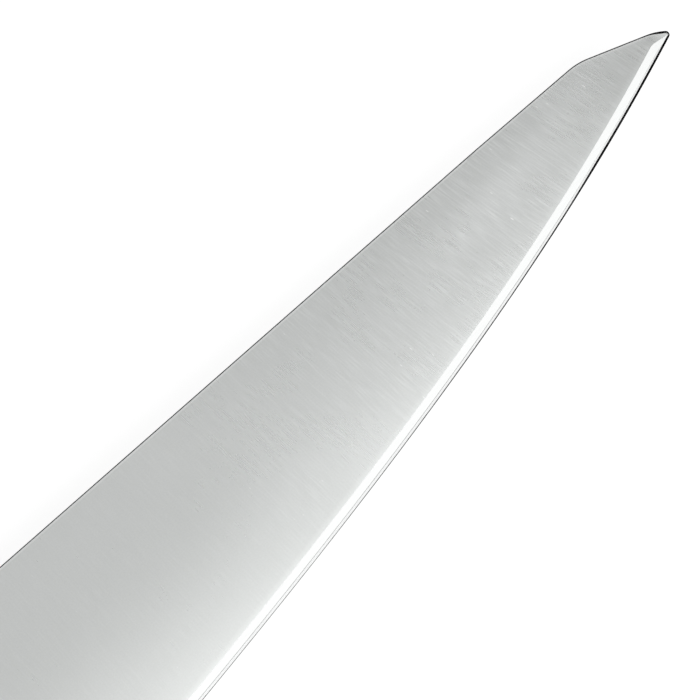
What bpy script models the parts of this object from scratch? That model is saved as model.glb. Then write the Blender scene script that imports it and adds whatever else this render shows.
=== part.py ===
"""Honesuki knife with a Western handle, in metres.

The knife lies on the left side of its handle. +X runs to the tip, +Y to the spine and +Z out of the
right face, the one with the wide bevel. The origin is under the middle of the knife, on the surface
that it lies on.

The pieces are made as a cutler makes them. A ground billet is blanked to the outline of the blade and
tang, and the bolster halves and handle scales are cut from one grip form, so that they come out flush.
"""

import math

import bmesh
import bpy

# Lengths of the knife. The blade's runs from the heel to the tip, the handle's from bolster to butt.
BLADE_LENGTH = 0.150
HANDLE_LENGTH = 0.116
BOLSTER_LENGTH = 0.015

# Blade outline. Drops and falls are measured down from the straight part of the spine, and lengths back
# from the tip. A pull is a curve handle's length, as a share of the blade's.
HEEL_HEIGHT = 0.0411
EDGE_START_DROP = 0.00670
EDGE_TIP_SLOPE = math.radians(20.9)
EDGE_HEEL_SLOPE = math.radians(8.5)
EDGE_TIP_PULL = 0.19
EDGE_HEEL_PULL = 0.59
SPINE_FALL = 0.00025
SPINE_FALL_LENGTH = 0.0215
CLIP_LENGTH = 0.0143
CLIP_CORNER_RADIUS = 0.011
NOSE_RADIUS = 0.010
NOSE_DEPTH = 0.00045
TIP_ROUND = 0.00065
HEEL_LEAN = math.radians(2.5)
CHOIL_RADIUS = 0.0070
CHOIL_FLAT = 0.0004

# Blade section. The left face is one plane, and the right face is crowned and carries the wide bevel,
# which ends in a narrow second bevel. Both bevels fade to a share of their width at the tip, and there
# the face has lost its crown.
SPINE_THICKNESS = 0.0030
TIP_THICKNESS = 0.0008
LEFT_FACE_LEAN = 0.0185
LEFT_BEVEL_WIDTH = 0.0005
LEFT_BEVEL_ANGLE = math.radians(14)
FACE_CROWN_SHARE = 0.45
CROWN_FADE_LENGTH = 0.030
BEVEL_WIDTH = 0.00123
BEVEL_ANGLE = math.radians(13)
SECOND_BEVEL_WIDTH = 0.00062
SECOND_BEVEL_ANGLE = math.radians(23)
BEVEL_FADE_LENGTH = 0.0034
BEVEL_TIP_SHARE = 0.1

# Handle. Belly, waist and flare are how far its underside lies below the spine. Its rounded edges are as
# high as GRIP_EDGE_HEIGHT, and between them its sides are flat.
BOLSTER_BOTTOM = 0.0205
BOLSTER_FRONT_HALF_WIDTH = 0.0058
BOLSTER_RAMP_LENGTH = 0.0095
BOLSTER_FRONT_ROUND = 0.0008
GRIP_HALF_WIDTH = 0.0090
GRIP_BELLY = 0.0232
GRIP_BELLY_BEHIND_BOLSTER = 0.030
GRIP_WAIST = 0.0222
GRIP_WAIST_BEFORE_BUTT = 0.033
GRIP_FLARE = 0.0268
GRIP_BACK_DROP = 0.0042
BUTT_TOP_RADIUS = 0.0095
BUTT_BOTTOM_RADIUS = 0.0070
BUTT_SIDE_RADIUS = 0.0035
GRIP_EDGE_HEIGHT = 0.0065
GRIP_EDGE_FULLNESS = 2.3
MOST_EDGE_SHARE = 0.9

# Rivets. Each is a head with a tube, closed by a head with a pin. A stop is the wall or the play that is
# left at the end of a tube, bore or pin.
RIVET_BEHIND_BOLSTER = 0.0135
RIVET_BEFORE_BUTT = 0.0225
RIVET_NAMES = ("front", "middle", "rear")
RIVET_HEAD_RADIUS = 0.0040
RIVET_HEAD_THICKNESS = 0.0015
RIVET_TUBE_RADIUS = 0.0025
RIVET_PIN_RADIUS = 0.0013
RIVET_TUBE_STOP = 0.0015
RIVET_BORE_STOP = 0.0020
RIVET_PIN_STOP = 0.0010
RIVET_CHAMFER = 0.0002

# Clearance between pieces that touch on the real knife
FIT_GAP = 0.0003

# How far a cutter or a blank reaches past what it cuts
OVERCUT = 0.002

# Fineness of the curved surfaces
BLADE_STATIONS = 46
FADE_STATIONS = 4
PLUNGE_STATIONS = 6
FACE_ROWS = 8
EDGE_SAMPLES = 200
CORNER_STEPS = 6
NOSE_STEPS = 6
TIP_STEPS = 8
CHOIL_STEPS = 10
GRIP_STATIONS = 22
ROUND_STATIONS = 7
GRIP_EDGE_STEPS = 8
TURNED_STEPS = 32

# Places worked out from the sizes
HEEL_BACK_HEIGHT = HEEL_HEIGHT - BOLSTER_BOTTOM - CHOIL_RADIUS * (1 - math.sin(HEEL_LEAN))
CHOIL_CENTRE_BEHIND_HEEL = HEEL_BACK_HEIGHT * math.tan(HEEL_LEAN) + CHOIL_RADIUS * math.cos(HEEL_LEAN)
NECK_LENGTH = CHOIL_CENTRE_BEHIND_HEEL + CHOIL_FLAT
OVERALL_LENGTH = BLADE_LENGTH + NECK_LENGTH + HANDLE_LENGTH
TIP_X = OVERALL_LENGTH / 2
HEEL_X = TIP_X - BLADE_LENGTH
BOLSTER_FRONT_X = HEEL_X - NECK_LENGTH
BOLSTER_BACK_X = BOLSTER_FRONT_X - BOLSTER_LENGTH
BUTT_X = -OVERALL_LENGTH / 2
SPINE_Y = HEEL_HEIGHT / 2
HEEL_Y = -HEEL_HEIGHT / 2
GRIP_LOWEST_Y = SPINE_Y - max(BOLSTER_BOTTOM, GRIP_BELLY, GRIP_WAIST, GRIP_FLARE)
MIDDLE_Z = GRIP_HALF_WIDTH
TANG_HALF = SPINE_THICKNESS / 2

STEEL = ("satin_steel", (0.60, 0.61, 0.60, 1.0), 0.30, 1.0)
BOLSTER_STEEL = ("polished_steel", (0.62, 0.62, 0.61, 1.0), 0.18, 1.0)
RIVET_STEEL = ("rivet_steel", (0.66, 0.65, 0.62, 1.0), 0.22, 1.0)
SCALE_WOOD = ("black_pakkawood", (0.022, 0.018, 0.016, 1.0), 0.38, 0.0)


def clear_scene():
    for obj in list(bpy.data.objects):
        bpy.data.objects.remove(obj)


def new_collection(name):
    collection = bpy.data.collections.new(name)
    bpy.context.scene.collection.children.link(collection)
    return collection


def new_material(name, colour, roughness, metallic):
    material = bpy.data.materials.new(name)
    material.use_nodes = True
    shader = material.node_tree.nodes["Principled BSDF"]
    shader.inputs["Base Color"].default_value = colour
    shader.inputs["Roughness"].default_value = roughness
    shader.inputs["Metallic"].default_value = metallic
    material.diffuse_color = colour
    return material


def add_object(name, mesh, collection, material=None):
    obj = bpy.data.objects.new(name, mesh)
    collection.objects.link(obj)
    if material:
        mesh.materials.append(material)
    return obj


def as_cutter(obj):
    obj.hide_render = True
    obj.display_type = "WIRE"
    return obj


def boolean(obj, other, operation):
    modifier = obj.modifiers.new(f"{operation.lower()}_{other.name}", "BOOLEAN")
    modifier.operation = operation
    modifier.solver = "EXACT"
    modifier.object = other


def shade_round(obj, angle=math.radians(30)):
    obj.data.shade_smooth()
    obj.data.set_sharp_from_angle(angle=angle)


def ease(share):
    """0 to 1 with level ends, for a share from 0 to 1."""
    share = min(1.0, max(0.0, share))
    return share * share * (3 - 2 * share)


def eased_through(place, knots):
    """A smooth line through (place, value) knots, level at each of them."""
    if place <= knots[0][0]:
        return knots[0][1]
    for (start, low), (end, high) in zip(knots, knots[1:]):
        if place <= end:
            return low + (high - low) * ease((place - start) / (end - start))
    return knots[-1][1]


def round_inset(depth, radius):
    """How far a surface draws in at this depth before a face that a quarter round of this radius ends."""
    if depth >= radius:
        return 0.0
    return radius - math.sqrt(max(0.0, radius * radius - (radius - depth) ** 2))


def loft(name, rings, collection, material=None):
    """A closed solid through rings of as many points each, with a flat cap on either end."""
    bm = bmesh.new()
    rows = [[bm.verts.new(point) for point in ring] for ring in rings]
    count = len(rows[0])
    for near, far in zip(rows, rows[1:]):
        for i in range(count):
            j = (i + 1) % count
            bm.faces.new((near[i], near[j], far[j], far[i]))
    bm.faces.new(rows[0])
    bm.faces.new(reversed(rows[-1]))
    bmesh.ops.recalc_face_normals(bm, faces=bm.faces)
    mesh = bpy.data.meshes.new(name)
    bm.to_mesh(mesh)
    bm.free()
    return add_object(name, mesh, collection, material)


def flat_prism(name, outline, half_thickness, collection):
    """A plate with this outline in X and Y, centred on the knife's middle plane."""
    curve = bpy.data.curves.new(name + "_outline", "CURVE")
    curve.dimensions = "2D"
    curve.fill_mode = "BOTH"
    curve.extrude = half_thickness
    spline = curve.splines.new("POLY")
    spline.points.add(len(outline) - 1)
    for point, (x, y) in zip(spline.points, outline):
        point.co = (x, y, 0.0, 1.0)
    spline.use_cyclic_u = True
    guide = bpy.data.objects.new(name + "_guide", curve)
    collection.objects.link(guide)
    guide.location.z = MIDDLE_Z
    bpy.context.view_layer.update()
    graph = bpy.context.evaluated_depsgraph_get()
    mesh = bpy.data.meshes.new_from_object(guide.evaluated_get(graph))
    bm = bmesh.new()
    bm.from_mesh(mesh)
    bmesh.ops.remove_doubles(bm, verts=bm.verts, dist=1e-6)
    bmesh.ops.recalc_face_normals(bm, faces=bm.faces)
    bm.to_mesh(mesh)
    bm.free()
    obj = add_object(name, mesh, collection)
    obj.matrix_world = guide.matrix_world
    bpy.data.objects.remove(guide)
    return obj


def box(name, low, high, collection, material=None):
    bm = bmesh.new()
    bmesh.ops.create_cube(bm, size=1.0)
    size = [b - a for a, b in zip(low, high)]
    centre = [(a + b) / 2 for a, b in zip(low, high)]
    bmesh.ops.scale(bm, vec=size, verts=bm.verts)
    bmesh.ops.translate(bm, vec=centre, verts=bm.verts)
    mesh = bpy.data.meshes.new(name)
    bm.to_mesh(mesh)
    bm.free()
    return add_object(name, mesh, collection, material)


def turned(name, profile, place, collection, material=None):
    """A (radius, z) profile, given down its outer side, turned about an upright axis at this place."""
    bm = bmesh.new()
    points = [bm.verts.new((radius, 0.0, z)) for radius, z in profile]
    for upper, lower in zip(points, points[1:]):
        bm.edges.new((upper, lower))
    mesh = bpy.data.meshes.new(name)
    bm.to_mesh(mesh)
    bm.free()
    obj = add_object(name, mesh, collection, material)
    obj.location = (place[0], place[1], 0.0)
    screw = obj.modifiers.new("turn", "SCREW")
    screw.steps = screw.render_steps = TURNED_STEPS
    screw.use_merge_vertices = True
    screw.merge_threshold = 1e-6
    screw.use_smooth_shade = False
    return obj


def edge_curve():
    """The cutting edge from the tip to the heel, as (x, y, slope) points on one Bezier curve."""
    start = (TIP_X, SPINE_Y - EDGE_START_DROP)
    end = (HEEL_X, HEEL_Y)
    tip_pull = EDGE_TIP_PULL * BLADE_LENGTH
    heel_pull = EDGE_HEEL_PULL * BLADE_LENGTH
    near = (start[0] - tip_pull * math.cos(EDGE_TIP_SLOPE), start[1] - tip_pull * math.sin(EDGE_TIP_SLOPE))
    far = (end[0] + heel_pull * math.cos(EDGE_HEEL_SLOPE), end[1] + heel_pull * math.sin(EDGE_HEEL_SLOPE))
    points = []
    for step in range(EDGE_SAMPLES + 1):
        t = step / EDGE_SAMPLES
        shares = ((1 - t) ** 3, 3 * t * (1 - t) ** 2, 3 * t * t * (1 - t), t**3)
        rates = ((1 - t) ** 2, 2 * t * (1 - t), t * t)
        corners = (start, near, far, end)
        sides = [(b[0] - a[0], b[1] - a[1]) for a, b in zip(corners, corners[1:])]
        x, y = (sum(share * corner[axis] for share, corner in zip(shares, corners)) for axis in (0, 1))
        dx, dy = (sum(rate * side[axis] for rate, side in zip(rates, sides)) for axis in (0, 1))
        points.append((x, y, dy / dx))
    return points


def edge_at(x, curve):
    """(y, slope) of the cutting edge at this x, carried on straight past the tip and the heel."""
    if x >= curve[0][0]:
        return curve[0][1] + (x - curve[0][0]) * curve[0][2], curve[0][2]
    for (x0, y0, slope0), (x1, y1, slope1) in zip(curve, curve[1:]):
        if x >= x1:
            share = (x0 - x) / (x0 - x1)
            return y0 + (y1 - y0) * share, slope0 + (slope1 - slope0) * share
    return curve[-1][1] + (x - curve[-1][0]) * curve[-1][2], curve[-1][2]


def spine_half_thickness(x):
    share = min(1.0, max(0.0, (x - HEEL_X) / BLADE_LENGTH))
    return (SPINE_THICKNESS + (TIP_THICKNESS - SPINE_THICKNESS) * share) / 2


def face_fall(share, x):
    """How much of its fall the right face has made at this share of the way from spine to shoulder."""
    crown = FACE_CROWN_SHARE * min(1.0, max(0.0, (TIP_X - x) / CROWN_FADE_LENGTH))
    return (1 - crown) * share + crown * share**3


def bevel_share(x):
    """How much of its full width the right bevel has at x: it narrows to the tip's thin steel."""
    run = min(1.0, max(0.0, (TIP_X - x) / BEVEL_FADE_LENGTH))
    return BEVEL_TIP_SHARE + (1 - BEVEL_TIP_SHARE) * run


def billet_ring(x, curve):
    """The ground section at x: down the right face and both bevels to the edge, and up the left face."""
    edge_y, slope = edge_at(x, curve)
    lengthening = math.sqrt(1 + slope * slope)
    half = spine_half_thickness(x)
    ground = ease((x - BOLSTER_FRONT_X) / NECK_LENGTH)

    def left_z(y):
        return -half + LEFT_FACE_LEAN * (SPINE_Y - y)

    width_share = bevel_share(x)
    edge_z = left_z(edge_y) + LEFT_BEVEL_WIDTH * math.tan(LEFT_BEVEL_ANGLE)
    second_y = edge_y + SECOND_BEVEL_WIDTH * lengthening * width_share
    second_z = edge_z + SECOND_BEVEL_WIDTH * math.tan(SECOND_BEVEL_ANGLE) * width_share
    shoulder_y = second_y + BEVEL_WIDTH * lengthening * width_share
    shoulder_z = second_z + BEVEL_WIDTH * math.tan(BEVEL_ANGLE) * width_share
    right = [(SPINE_Y + OVERCUT, half)]
    for row in range(FACE_ROWS + 1):
        share = row / FACE_ROWS
        fall = (half - shoulder_z) * face_fall(share, x)
        right.append((SPINE_Y - (SPINE_Y - shoulder_y) * share, half - fall))
    right.append((second_y, second_z))
    left_y = edge_y + LEFT_BEVEL_WIDTH * lengthening
    left = [(left_y, left_z(left_y)), (SPINE_Y, -half), (SPINE_Y + OVERCUT, -half)]
    ring = [(x, y, MIDDLE_Z + TANG_HALF + (z - TANG_HALF) * ground) for y, z in right]
    ring.append((x, edge_y, MIDDLE_Z + edge_z * ground))
    ring += [(x, y, MIDDLE_Z - TANG_HALF + (z + TANG_HALF) * ground) for y, z in left]
    return ring


def ground_billet(curve, collection, material):
    """The bar of steel with its faces and bevels ground, before its outline is cut."""
    full_bevel_x = TIP_X - BEVEL_FADE_LENGTH
    full_length = full_bevel_x - HEEL_X
    stations = [TIP_X + OVERCUT]
    stations += [TIP_X - BEVEL_FADE_LENGTH * i / FADE_STATIONS for i in range(FADE_STATIONS)]
    stations += [full_bevel_x - full_length * i / BLADE_STATIONS for i in range(BLADE_STATIONS + 1)]
    stations += [HEEL_X - NECK_LENGTH * i / PLUNGE_STATIONS for i in range(1, PLUNGE_STATIONS + 1)]
    stations.append(BUTT_X - OVERCUT)
    return loft("blade_with_tang", [billet_ring(x, curve) for x in stations], collection, material)


def grip_top(h):
    """Y of the handle's back at h behind the bolster's front, before the butt is rounded."""
    return SPINE_Y - eased_through(h, [(0.0, 0.0), (HANDLE_LENGTH, GRIP_BACK_DROP)])


def grip_bottom(h):
    knots = [
        (0.0, BOLSTER_BOTTOM),
        (BOLSTER_LENGTH + GRIP_BELLY_BEHIND_BOLSTER, GRIP_BELLY),
        (HANDLE_LENGTH - GRIP_WAIST_BEFORE_BUTT, GRIP_WAIST),
        (HANDLE_LENGTH, GRIP_FLARE),
    ]
    return SPINE_Y - eased_through(h, knots)


def grip_half_width(h):
    return eased_through(h, [(0.0, BOLSTER_FRONT_HALF_WIDTH), (BOLSTER_RAMP_LENGTH, GRIP_HALF_WIDTH)])


def grip_sides(h):
    """(top, bottom, half width) of the handle at h, with the butt's rounds."""
    left = HANDLE_LENGTH - h
    top = grip_top(h) - round_inset(left, BUTT_TOP_RADIUS)
    bottom = grip_bottom(h) + round_inset(left, BUTT_BOTTOM_RADIUS)
    return top, bottom, grip_half_width(h) - round_inset(left, BUTT_SIDE_RADIUS)


def quarter_round_places(radius):
    """Depths that step evenly round a quarter circle, from its face to its far end."""
    return [radius * (1 - math.cos(math.pi / 2 * i / ROUND_STATIONS)) for i in range(ROUND_STATIONS + 1)]


def grip_places():
    """The stations of the handle, from the bolster's front to the butt."""
    butt_radius = max(BUTT_TOP_RADIUS, BUTT_BOTTOM_RADIUS, BUTT_SIDE_RADIUS)
    ramp = [BOLSTER_RAMP_LENGTH * i / ROUND_STATIONS for i in range(1, ROUND_STATIONS + 1)]
    front = [p for p in quarter_round_places(BOLSTER_FRONT_ROUND) if p < ramp[0]]
    start, end = BOLSTER_RAMP_LENGTH, HANDLE_LENGTH - butt_radius
    middle = [start + (end - start) * i / GRIP_STATIONS for i in range(1, GRIP_STATIONS)]
    butt = [HANDLE_LENGTH - depth for depth in reversed(quarter_round_places(butt_radius))]
    return sorted(set(front + ramp + middle + butt))


def grip_ring(h):
    """The handle's section at h: flat sides, and full round edges between them and the back and belly."""
    top, bottom, half_width = grip_sides(h)
    inset = round_inset(h, BOLSTER_FRONT_ROUND)
    half_height = (top - bottom) / 2 - inset
    half_width -= inset
    edge_height = min(GRIP_EDGE_HEIGHT, MOST_EDGE_SHARE * half_height)
    power = 2 / GRIP_EDGE_FULLNESS
    quarter = []
    for step in range(GRIP_EDGE_STEPS):
        angle = math.pi / 2 * step / GRIP_EDGE_STEPS
        rise = half_height - edge_height + edge_height * math.sin(angle) ** power
        quarter.append((rise, half_width * math.cos(angle) ** power))
    upper = quarter + [(half_height, 0.0)] + [(rise, -side) for rise, side in reversed(quarter)]
    section = upper + [(-rise, side) for rise, side in reversed(upper)]
    middle = (top + bottom) / 2
    return [(BOLSTER_FRONT_X - h, middle + rise, MIDDLE_Z + side) for rise, side in section]


def curve_on(points, heading, radius, turn, steps):
    """Carries a path on round an arc, to the left where turn is positive, and gives its new heading."""
    side = math.copysign(radius, turn)
    x, y = points[-1]
    centre = (x - side * math.sin(heading), y + side * math.cos(heading))
    for step in range(1, steps + 1):
        way = heading + turn * step / steps
        points.append((centre[0] + side * math.sin(way), centre[1] - side * math.cos(way)))
    return heading + turn


def straight_on(points, heading, length):
    x, y = points[-1]
    points.append((x + length * math.cos(heading), y + length * math.sin(heading)))


def spine_outline():
    """The path along the spine to the tip: a slight fall, a round corner, the clip, its nose and the tip."""
    edge_height = SPINE_Y - EDGE_START_DROP
    tip_centre = (
        TIP_X - TIP_ROUND,
        edge_height + TIP_ROUND * (1 / math.cos(EDGE_TIP_SLOPE) - math.tan(EDGE_TIP_SLOPE)),
    )
    corner = (TIP_X - CLIP_LENGTH, SPINE_Y - SPINE_FALL)
    run, fall = tip_centre[0] - corner[0], corner[1] - tip_centre[1]
    reach = math.hypot(run, fall)
    depth = TIP_ROUND + NOSE_DEPTH
    clip_slope = math.atan2(fall, run) - math.asin(depth / reach)
    nose_turn = math.acos((NOSE_RADIUS - depth) / (NOSE_RADIUS - TIP_ROUND))
    nose_start = math.sqrt(reach**2 - depth**2) - (NOSE_RADIUS - TIP_ROUND) * math.sin(nose_turn)

    spine_slope = math.atan2(SPINE_FALL, SPINE_FALL_LENGTH)
    corner_turn = clip_slope - spine_slope
    corner_reach = CLIP_CORNER_RADIUS * math.tan(corner_turn / 2)

    points = [(corner[0] - SPINE_FALL_LENGTH, SPINE_Y)]
    straight_on(points, -spine_slope, math.hypot(SPINE_FALL_LENGTH, SPINE_FALL) - corner_reach)
    heading = curve_on(points, -spine_slope, CLIP_CORNER_RADIUS, -corner_turn, CORNER_STEPS)
    straight_on(points, heading, nose_start - corner_reach)
    heading = curve_on(points, heading, NOSE_RADIUS, -nose_turn, NOSE_STEPS)
    # The tip's round stops half a step short, so that it crosses the edge and doesn't run along it.
    tip_turn = EDGE_TIP_SLOPE - math.pi - heading
    heading = curve_on(points, heading, TIP_ROUND, tip_turn * (1 - 0.5 / TIP_STEPS), TIP_STEPS)
    straight_on(points, heading, OVERCUT)
    return points


def choil_outline():
    """The path up the heel's back and round the choil, to the bottom of the neck."""
    below = OVERCUT / math.cos(HEEL_LEAN)
    heading = math.pi / 2 + HEEL_LEAN
    points = [(HEEL_X + below * math.sin(HEEL_LEAN), HEEL_Y - OVERCUT)]
    straight_on(points, heading, below + HEEL_BACK_HEIGHT / math.cos(HEEL_LEAN))
    curve_on(points, heading, CHOIL_RADIUS, math.pi - heading, CHOIL_STEPS)
    return points


def blank_outline():
    """The outline that the blade and tang are blanked to, clockwise from the bolster's top."""
    places = grip_places()
    points = [(BOLSTER_FRONT_X, SPINE_Y)]
    points += spine_outline()
    points.append((TIP_X, points[-1][1] - OVERCUT))
    points.append((TIP_X - CLIP_LENGTH, HEEL_Y - OVERCUT))
    points += choil_outline()
    points += [(BOLSTER_FRONT_X - h, grip_sides(h)[1]) for h in places]
    points += [(BOLSTER_FRONT_X - h, grip_sides(h)[0]) for h in reversed(places[1:])]
    return points


def rivet_places():
    """(x, y) of each rivet, on the straight line between the first and the last."""

    def middle_of(h):
        top, bottom, _ = grip_sides(h)
        return BOLSTER_FRONT_X - h, (top + bottom) / 2

    first = middle_of(BOLSTER_LENGTH + RIVET_BEHIND_BOLSTER)
    last = middle_of(HANDLE_LENGTH - RIVET_BEFORE_BUTT)
    places = []
    for i in range(len(RIVET_NAMES)):
        share = i / (len(RIVET_NAMES) - 1)
        places.append(tuple(a + (b - a) * share for a, b in zip(first, last)))
    return places


def rivet_bore(name, place, collection):
    """The stepped hole that takes a rivet: a seat for each head and a through hole for the tube."""
    top = 2 * GRIP_HALF_WIDTH
    seat = RIVET_HEAD_THICKNESS + FIT_GAP
    seat_radius = RIVET_HEAD_RADIUS + FIT_GAP
    hole_radius = RIVET_TUBE_RADIUS + FIT_GAP
    profile = [
        (0.0, top + OVERCUT),
        (seat_radius, top + OVERCUT),
        (seat_radius, top - seat),
        (hole_radius, top - seat),
        (hole_radius, seat),
        (seat_radius, seat),
        (seat_radius, -OVERCUT),
        (0.0, -OVERCUT),
    ]
    return as_cutter(turned(name, profile, place, collection))


def rivet_female(name, place, collection, material):
    """The right half of a rivet: its head, flush with the right scale, and the tube that it closes on."""
    top = 2 * GRIP_HALF_WIDTH
    under_head = top - RIVET_HEAD_THICKNESS
    tube_end = RIVET_HEAD_THICKNESS + RIVET_TUBE_STOP
    bore_radius = RIVET_PIN_RADIUS + FIT_GAP
    profile = [
        (0.0, top),
        (RIVET_HEAD_RADIUS - RIVET_CHAMFER, top),
        (RIVET_HEAD_RADIUS, top - RIVET_CHAMFER),
        (RIVET_HEAD_RADIUS, under_head),
        (RIVET_TUBE_RADIUS, under_head),
        (RIVET_TUBE_RADIUS, tube_end + RIVET_CHAMFER),
        (RIVET_TUBE_RADIUS - RIVET_CHAMFER, tube_end),
        (bore_radius, tube_end),
        (bore_radius, under_head - RIVET_BORE_STOP),
        (0.0, under_head - RIVET_BORE_STOP),
    ]
    return turned(name, profile, place, collection, material)


def rivet_male(name, place, collection, material):
    """The left half of a rivet: its head, flush with the left scale, and the pin driven into the tube."""
    bore_end = 2 * GRIP_HALF_WIDTH - RIVET_HEAD_THICKNESS - RIVET_BORE_STOP
    pin_end = bore_end - RIVET_PIN_STOP
    profile = [
        (0.0, pin_end),
        (RIVET_PIN_RADIUS - RIVET_CHAMFER, pin_end),
        (RIVET_PIN_RADIUS, pin_end - RIVET_CHAMFER),
        (RIVET_PIN_RADIUS, RIVET_HEAD_THICKNESS),
        (RIVET_HEAD_RADIUS, RIVET_HEAD_THICKNESS),
        (RIVET_HEAD_RADIUS, RIVET_CHAMFER),
        (RIVET_HEAD_RADIUS - RIVET_CHAMFER, 0.0),
        (0.0, 0.0),
    ]
    return turned(name, profile, place, collection, material)


def side_blank(name, front, back, side, collection, material):
    """A block beside the tang, from front to back in x, on the right (1) or the left (-1)."""
    inner = MIDDLE_Z + side * (TANG_HALF + FIT_GAP)
    outer = MIDDLE_Z + side * (GRIP_HALF_WIDTH + OVERCUT)
    low = (back, GRIP_LOWEST_Y - OVERCUT, min(inner, outer))
    high = (front, SPINE_Y + OVERCUT, max(inner, outer))
    return box(name, low, high, collection, material)


def build():
    clear_scene()
    knife = new_collection("honesuki_knife")
    cutters = new_collection("cutters")
    steel, bolster_steel, rivet_steel, wood = (
        new_material(*finish) for finish in (STEEL, BOLSTER_STEEL, RIVET_STEEL, SCALE_WOOD)
    )
    curve = edge_curve()
    blank = as_cutter(flat_prism("blank_outline", blank_outline(), TANG_HALF + OVERCUT, cutters))
    grip_form = as_cutter(loft("grip_form", [grip_ring(h) for h in grip_places()], cutters))
    places = rivet_places()
    bores = [rivet_bore(f"{name}_rivet_bore", at, cutters) for name, at in zip(RIVET_NAMES, places)]

    blade = ground_billet(curve, knife, steel)
    boolean(blade, blank, "INTERSECT")
    for bore in bores:
        boolean(blade, bore, "DIFFERENCE")
    shade_round(blade)

    for hand, side in (("right", 1), ("left", -1)):
        bolster = side_blank(
            f"bolster_{hand}", BOLSTER_FRONT_X + OVERCUT, BOLSTER_BACK_X, side, knife, bolster_steel
        )
        boolean(bolster, grip_form, "INTERSECT")
        shade_round(bolster)
        scale = side_blank(
            f"handle_scale_{hand}", BOLSTER_BACK_X - FIT_GAP, BUTT_X - OVERCUT, side, knife, wood
        )
        boolean(scale, grip_form, "INTERSECT")
        for bore in bores:
            boolean(scale, bore, "DIFFERENCE")
        shade_round(scale)

    for name, at in zip(RIVET_NAMES, places):
        rivet_female(f"{name}_rivet_female", at, knife, rivet_steel)
        rivet_male(f"{name}_rivet_male", at, knife, rivet_steel)


build()
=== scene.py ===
"""Honesuki knife with a Western handle: the finished surfaces, modelled over the knife's CAD frame.

The file is laid out as a Blender add-on and is run as a script. +X runs to the tip, +Y to the spine and
+Z out of the right face, which carries the wide bevel. All lengths are in metres.
"""

import math

import bmesh
import bpy
import numpy as np
from bpy.props import FloatProperty, FloatVectorProperty, IntProperty, PointerProperty
from mathutils import Euler, Matrix, Vector
from mathutils.geometry import interpolate_bezier


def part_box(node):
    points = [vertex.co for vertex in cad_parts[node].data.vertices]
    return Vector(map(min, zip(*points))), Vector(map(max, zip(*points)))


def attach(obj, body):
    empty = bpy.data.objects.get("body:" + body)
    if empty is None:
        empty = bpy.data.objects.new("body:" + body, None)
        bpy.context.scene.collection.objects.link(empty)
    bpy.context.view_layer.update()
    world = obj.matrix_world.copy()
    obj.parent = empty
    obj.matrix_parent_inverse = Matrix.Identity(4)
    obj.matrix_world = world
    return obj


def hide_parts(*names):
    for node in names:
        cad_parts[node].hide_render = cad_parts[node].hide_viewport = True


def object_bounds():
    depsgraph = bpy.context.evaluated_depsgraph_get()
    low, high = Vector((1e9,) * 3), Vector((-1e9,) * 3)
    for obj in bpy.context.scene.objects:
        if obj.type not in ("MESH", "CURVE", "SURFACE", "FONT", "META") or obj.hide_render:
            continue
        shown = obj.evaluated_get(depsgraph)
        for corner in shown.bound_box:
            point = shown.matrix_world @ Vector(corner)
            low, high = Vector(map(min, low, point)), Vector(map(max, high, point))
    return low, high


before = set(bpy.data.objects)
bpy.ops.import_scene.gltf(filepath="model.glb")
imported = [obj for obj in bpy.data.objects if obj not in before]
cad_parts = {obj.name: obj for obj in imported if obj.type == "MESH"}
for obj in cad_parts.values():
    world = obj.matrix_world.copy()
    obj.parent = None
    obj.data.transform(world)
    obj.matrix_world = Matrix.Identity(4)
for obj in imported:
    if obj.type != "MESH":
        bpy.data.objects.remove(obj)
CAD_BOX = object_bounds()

bl_info = {
    "name": "Honesuki Knife",
    "version": (1, 0, 0),
    "blender": (4, 5, 0),
    "location": "3D View > Sidebar > Knife",
    "description": "Models and finishes a honesuki knife over its CAD frame",
    "category": "Add Mesh",
}

# Main lines of the knife, taken from the frame
BLADE_LOW, BLADE_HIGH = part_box("blade_with_tang")
BOLSTER_LOW, BOLSTER_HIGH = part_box("bolster_right")
TIP_X, BUTT_X = BLADE_HIGH.x, BLADE_LOW.x
SPINE_Y, HEEL_Y = BLADE_HIGH.y, BLADE_LOW.y
BOLSTER_FRONT_X, BOLSTER_BACK_X = BOLSTER_HIGH.x, BOLSTER_LOW.x
HANDLE_LENGTH = BOLSTER_FRONT_X - BUTT_X
KNIFE_TOP_Z = CAD_BOX[1].z
MIDDLE_Z = (CAD_BOX[0].z + CAD_BOX[1].z) / 2
RIVETS = ("front", "middle", "rear")

# Outline of the blade, as the frame has it: distances below the spine and back from the tip
EDGE_START_DROP = 0.00670
EDGE_TIP_SLOPE = math.radians(20.9)
EDGE_HEEL_SLOPE = math.radians(8.5)
EDGE_TIP_PULL = 0.19
EDGE_HEEL_PULL = 0.59
EDGE_SAMPLES = 600
EDGE_BEHIND_HEEL = 0.012
SPINE_FALL = 0.00025
SPINE_FALL_LENGTH = 0.0215
CLIP_LENGTH = 0.0143
CLIP_CORNER_RADIUS = 0.011
NOSE_RADIUS = 0.010
NOSE_DEPTH = 0.00045
TIP_ROUND = 0.00065
HEEL_LEAN = math.radians(2.5)
HEEL_LEAN_REACH = 0.030
CHOIL_RADIUS = 0.0070
NECK_HEIGHT = 0.0205

# Steps along the outline at the tip, from the spine to under the tip, and round the choil
SPINE_STEPS, CORNER_STEPS, CLIP_STEPS, NOSE_STEPS, TIP_STEPS, UNDER_TIP_STEPS = 12, 12, 14, 10, 12, 10
CHOIL_STEPS = 16

# From this far behind the start of that outline, only the straight spine is near
STRAIGHT_SPINE_START = 0.002

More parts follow.
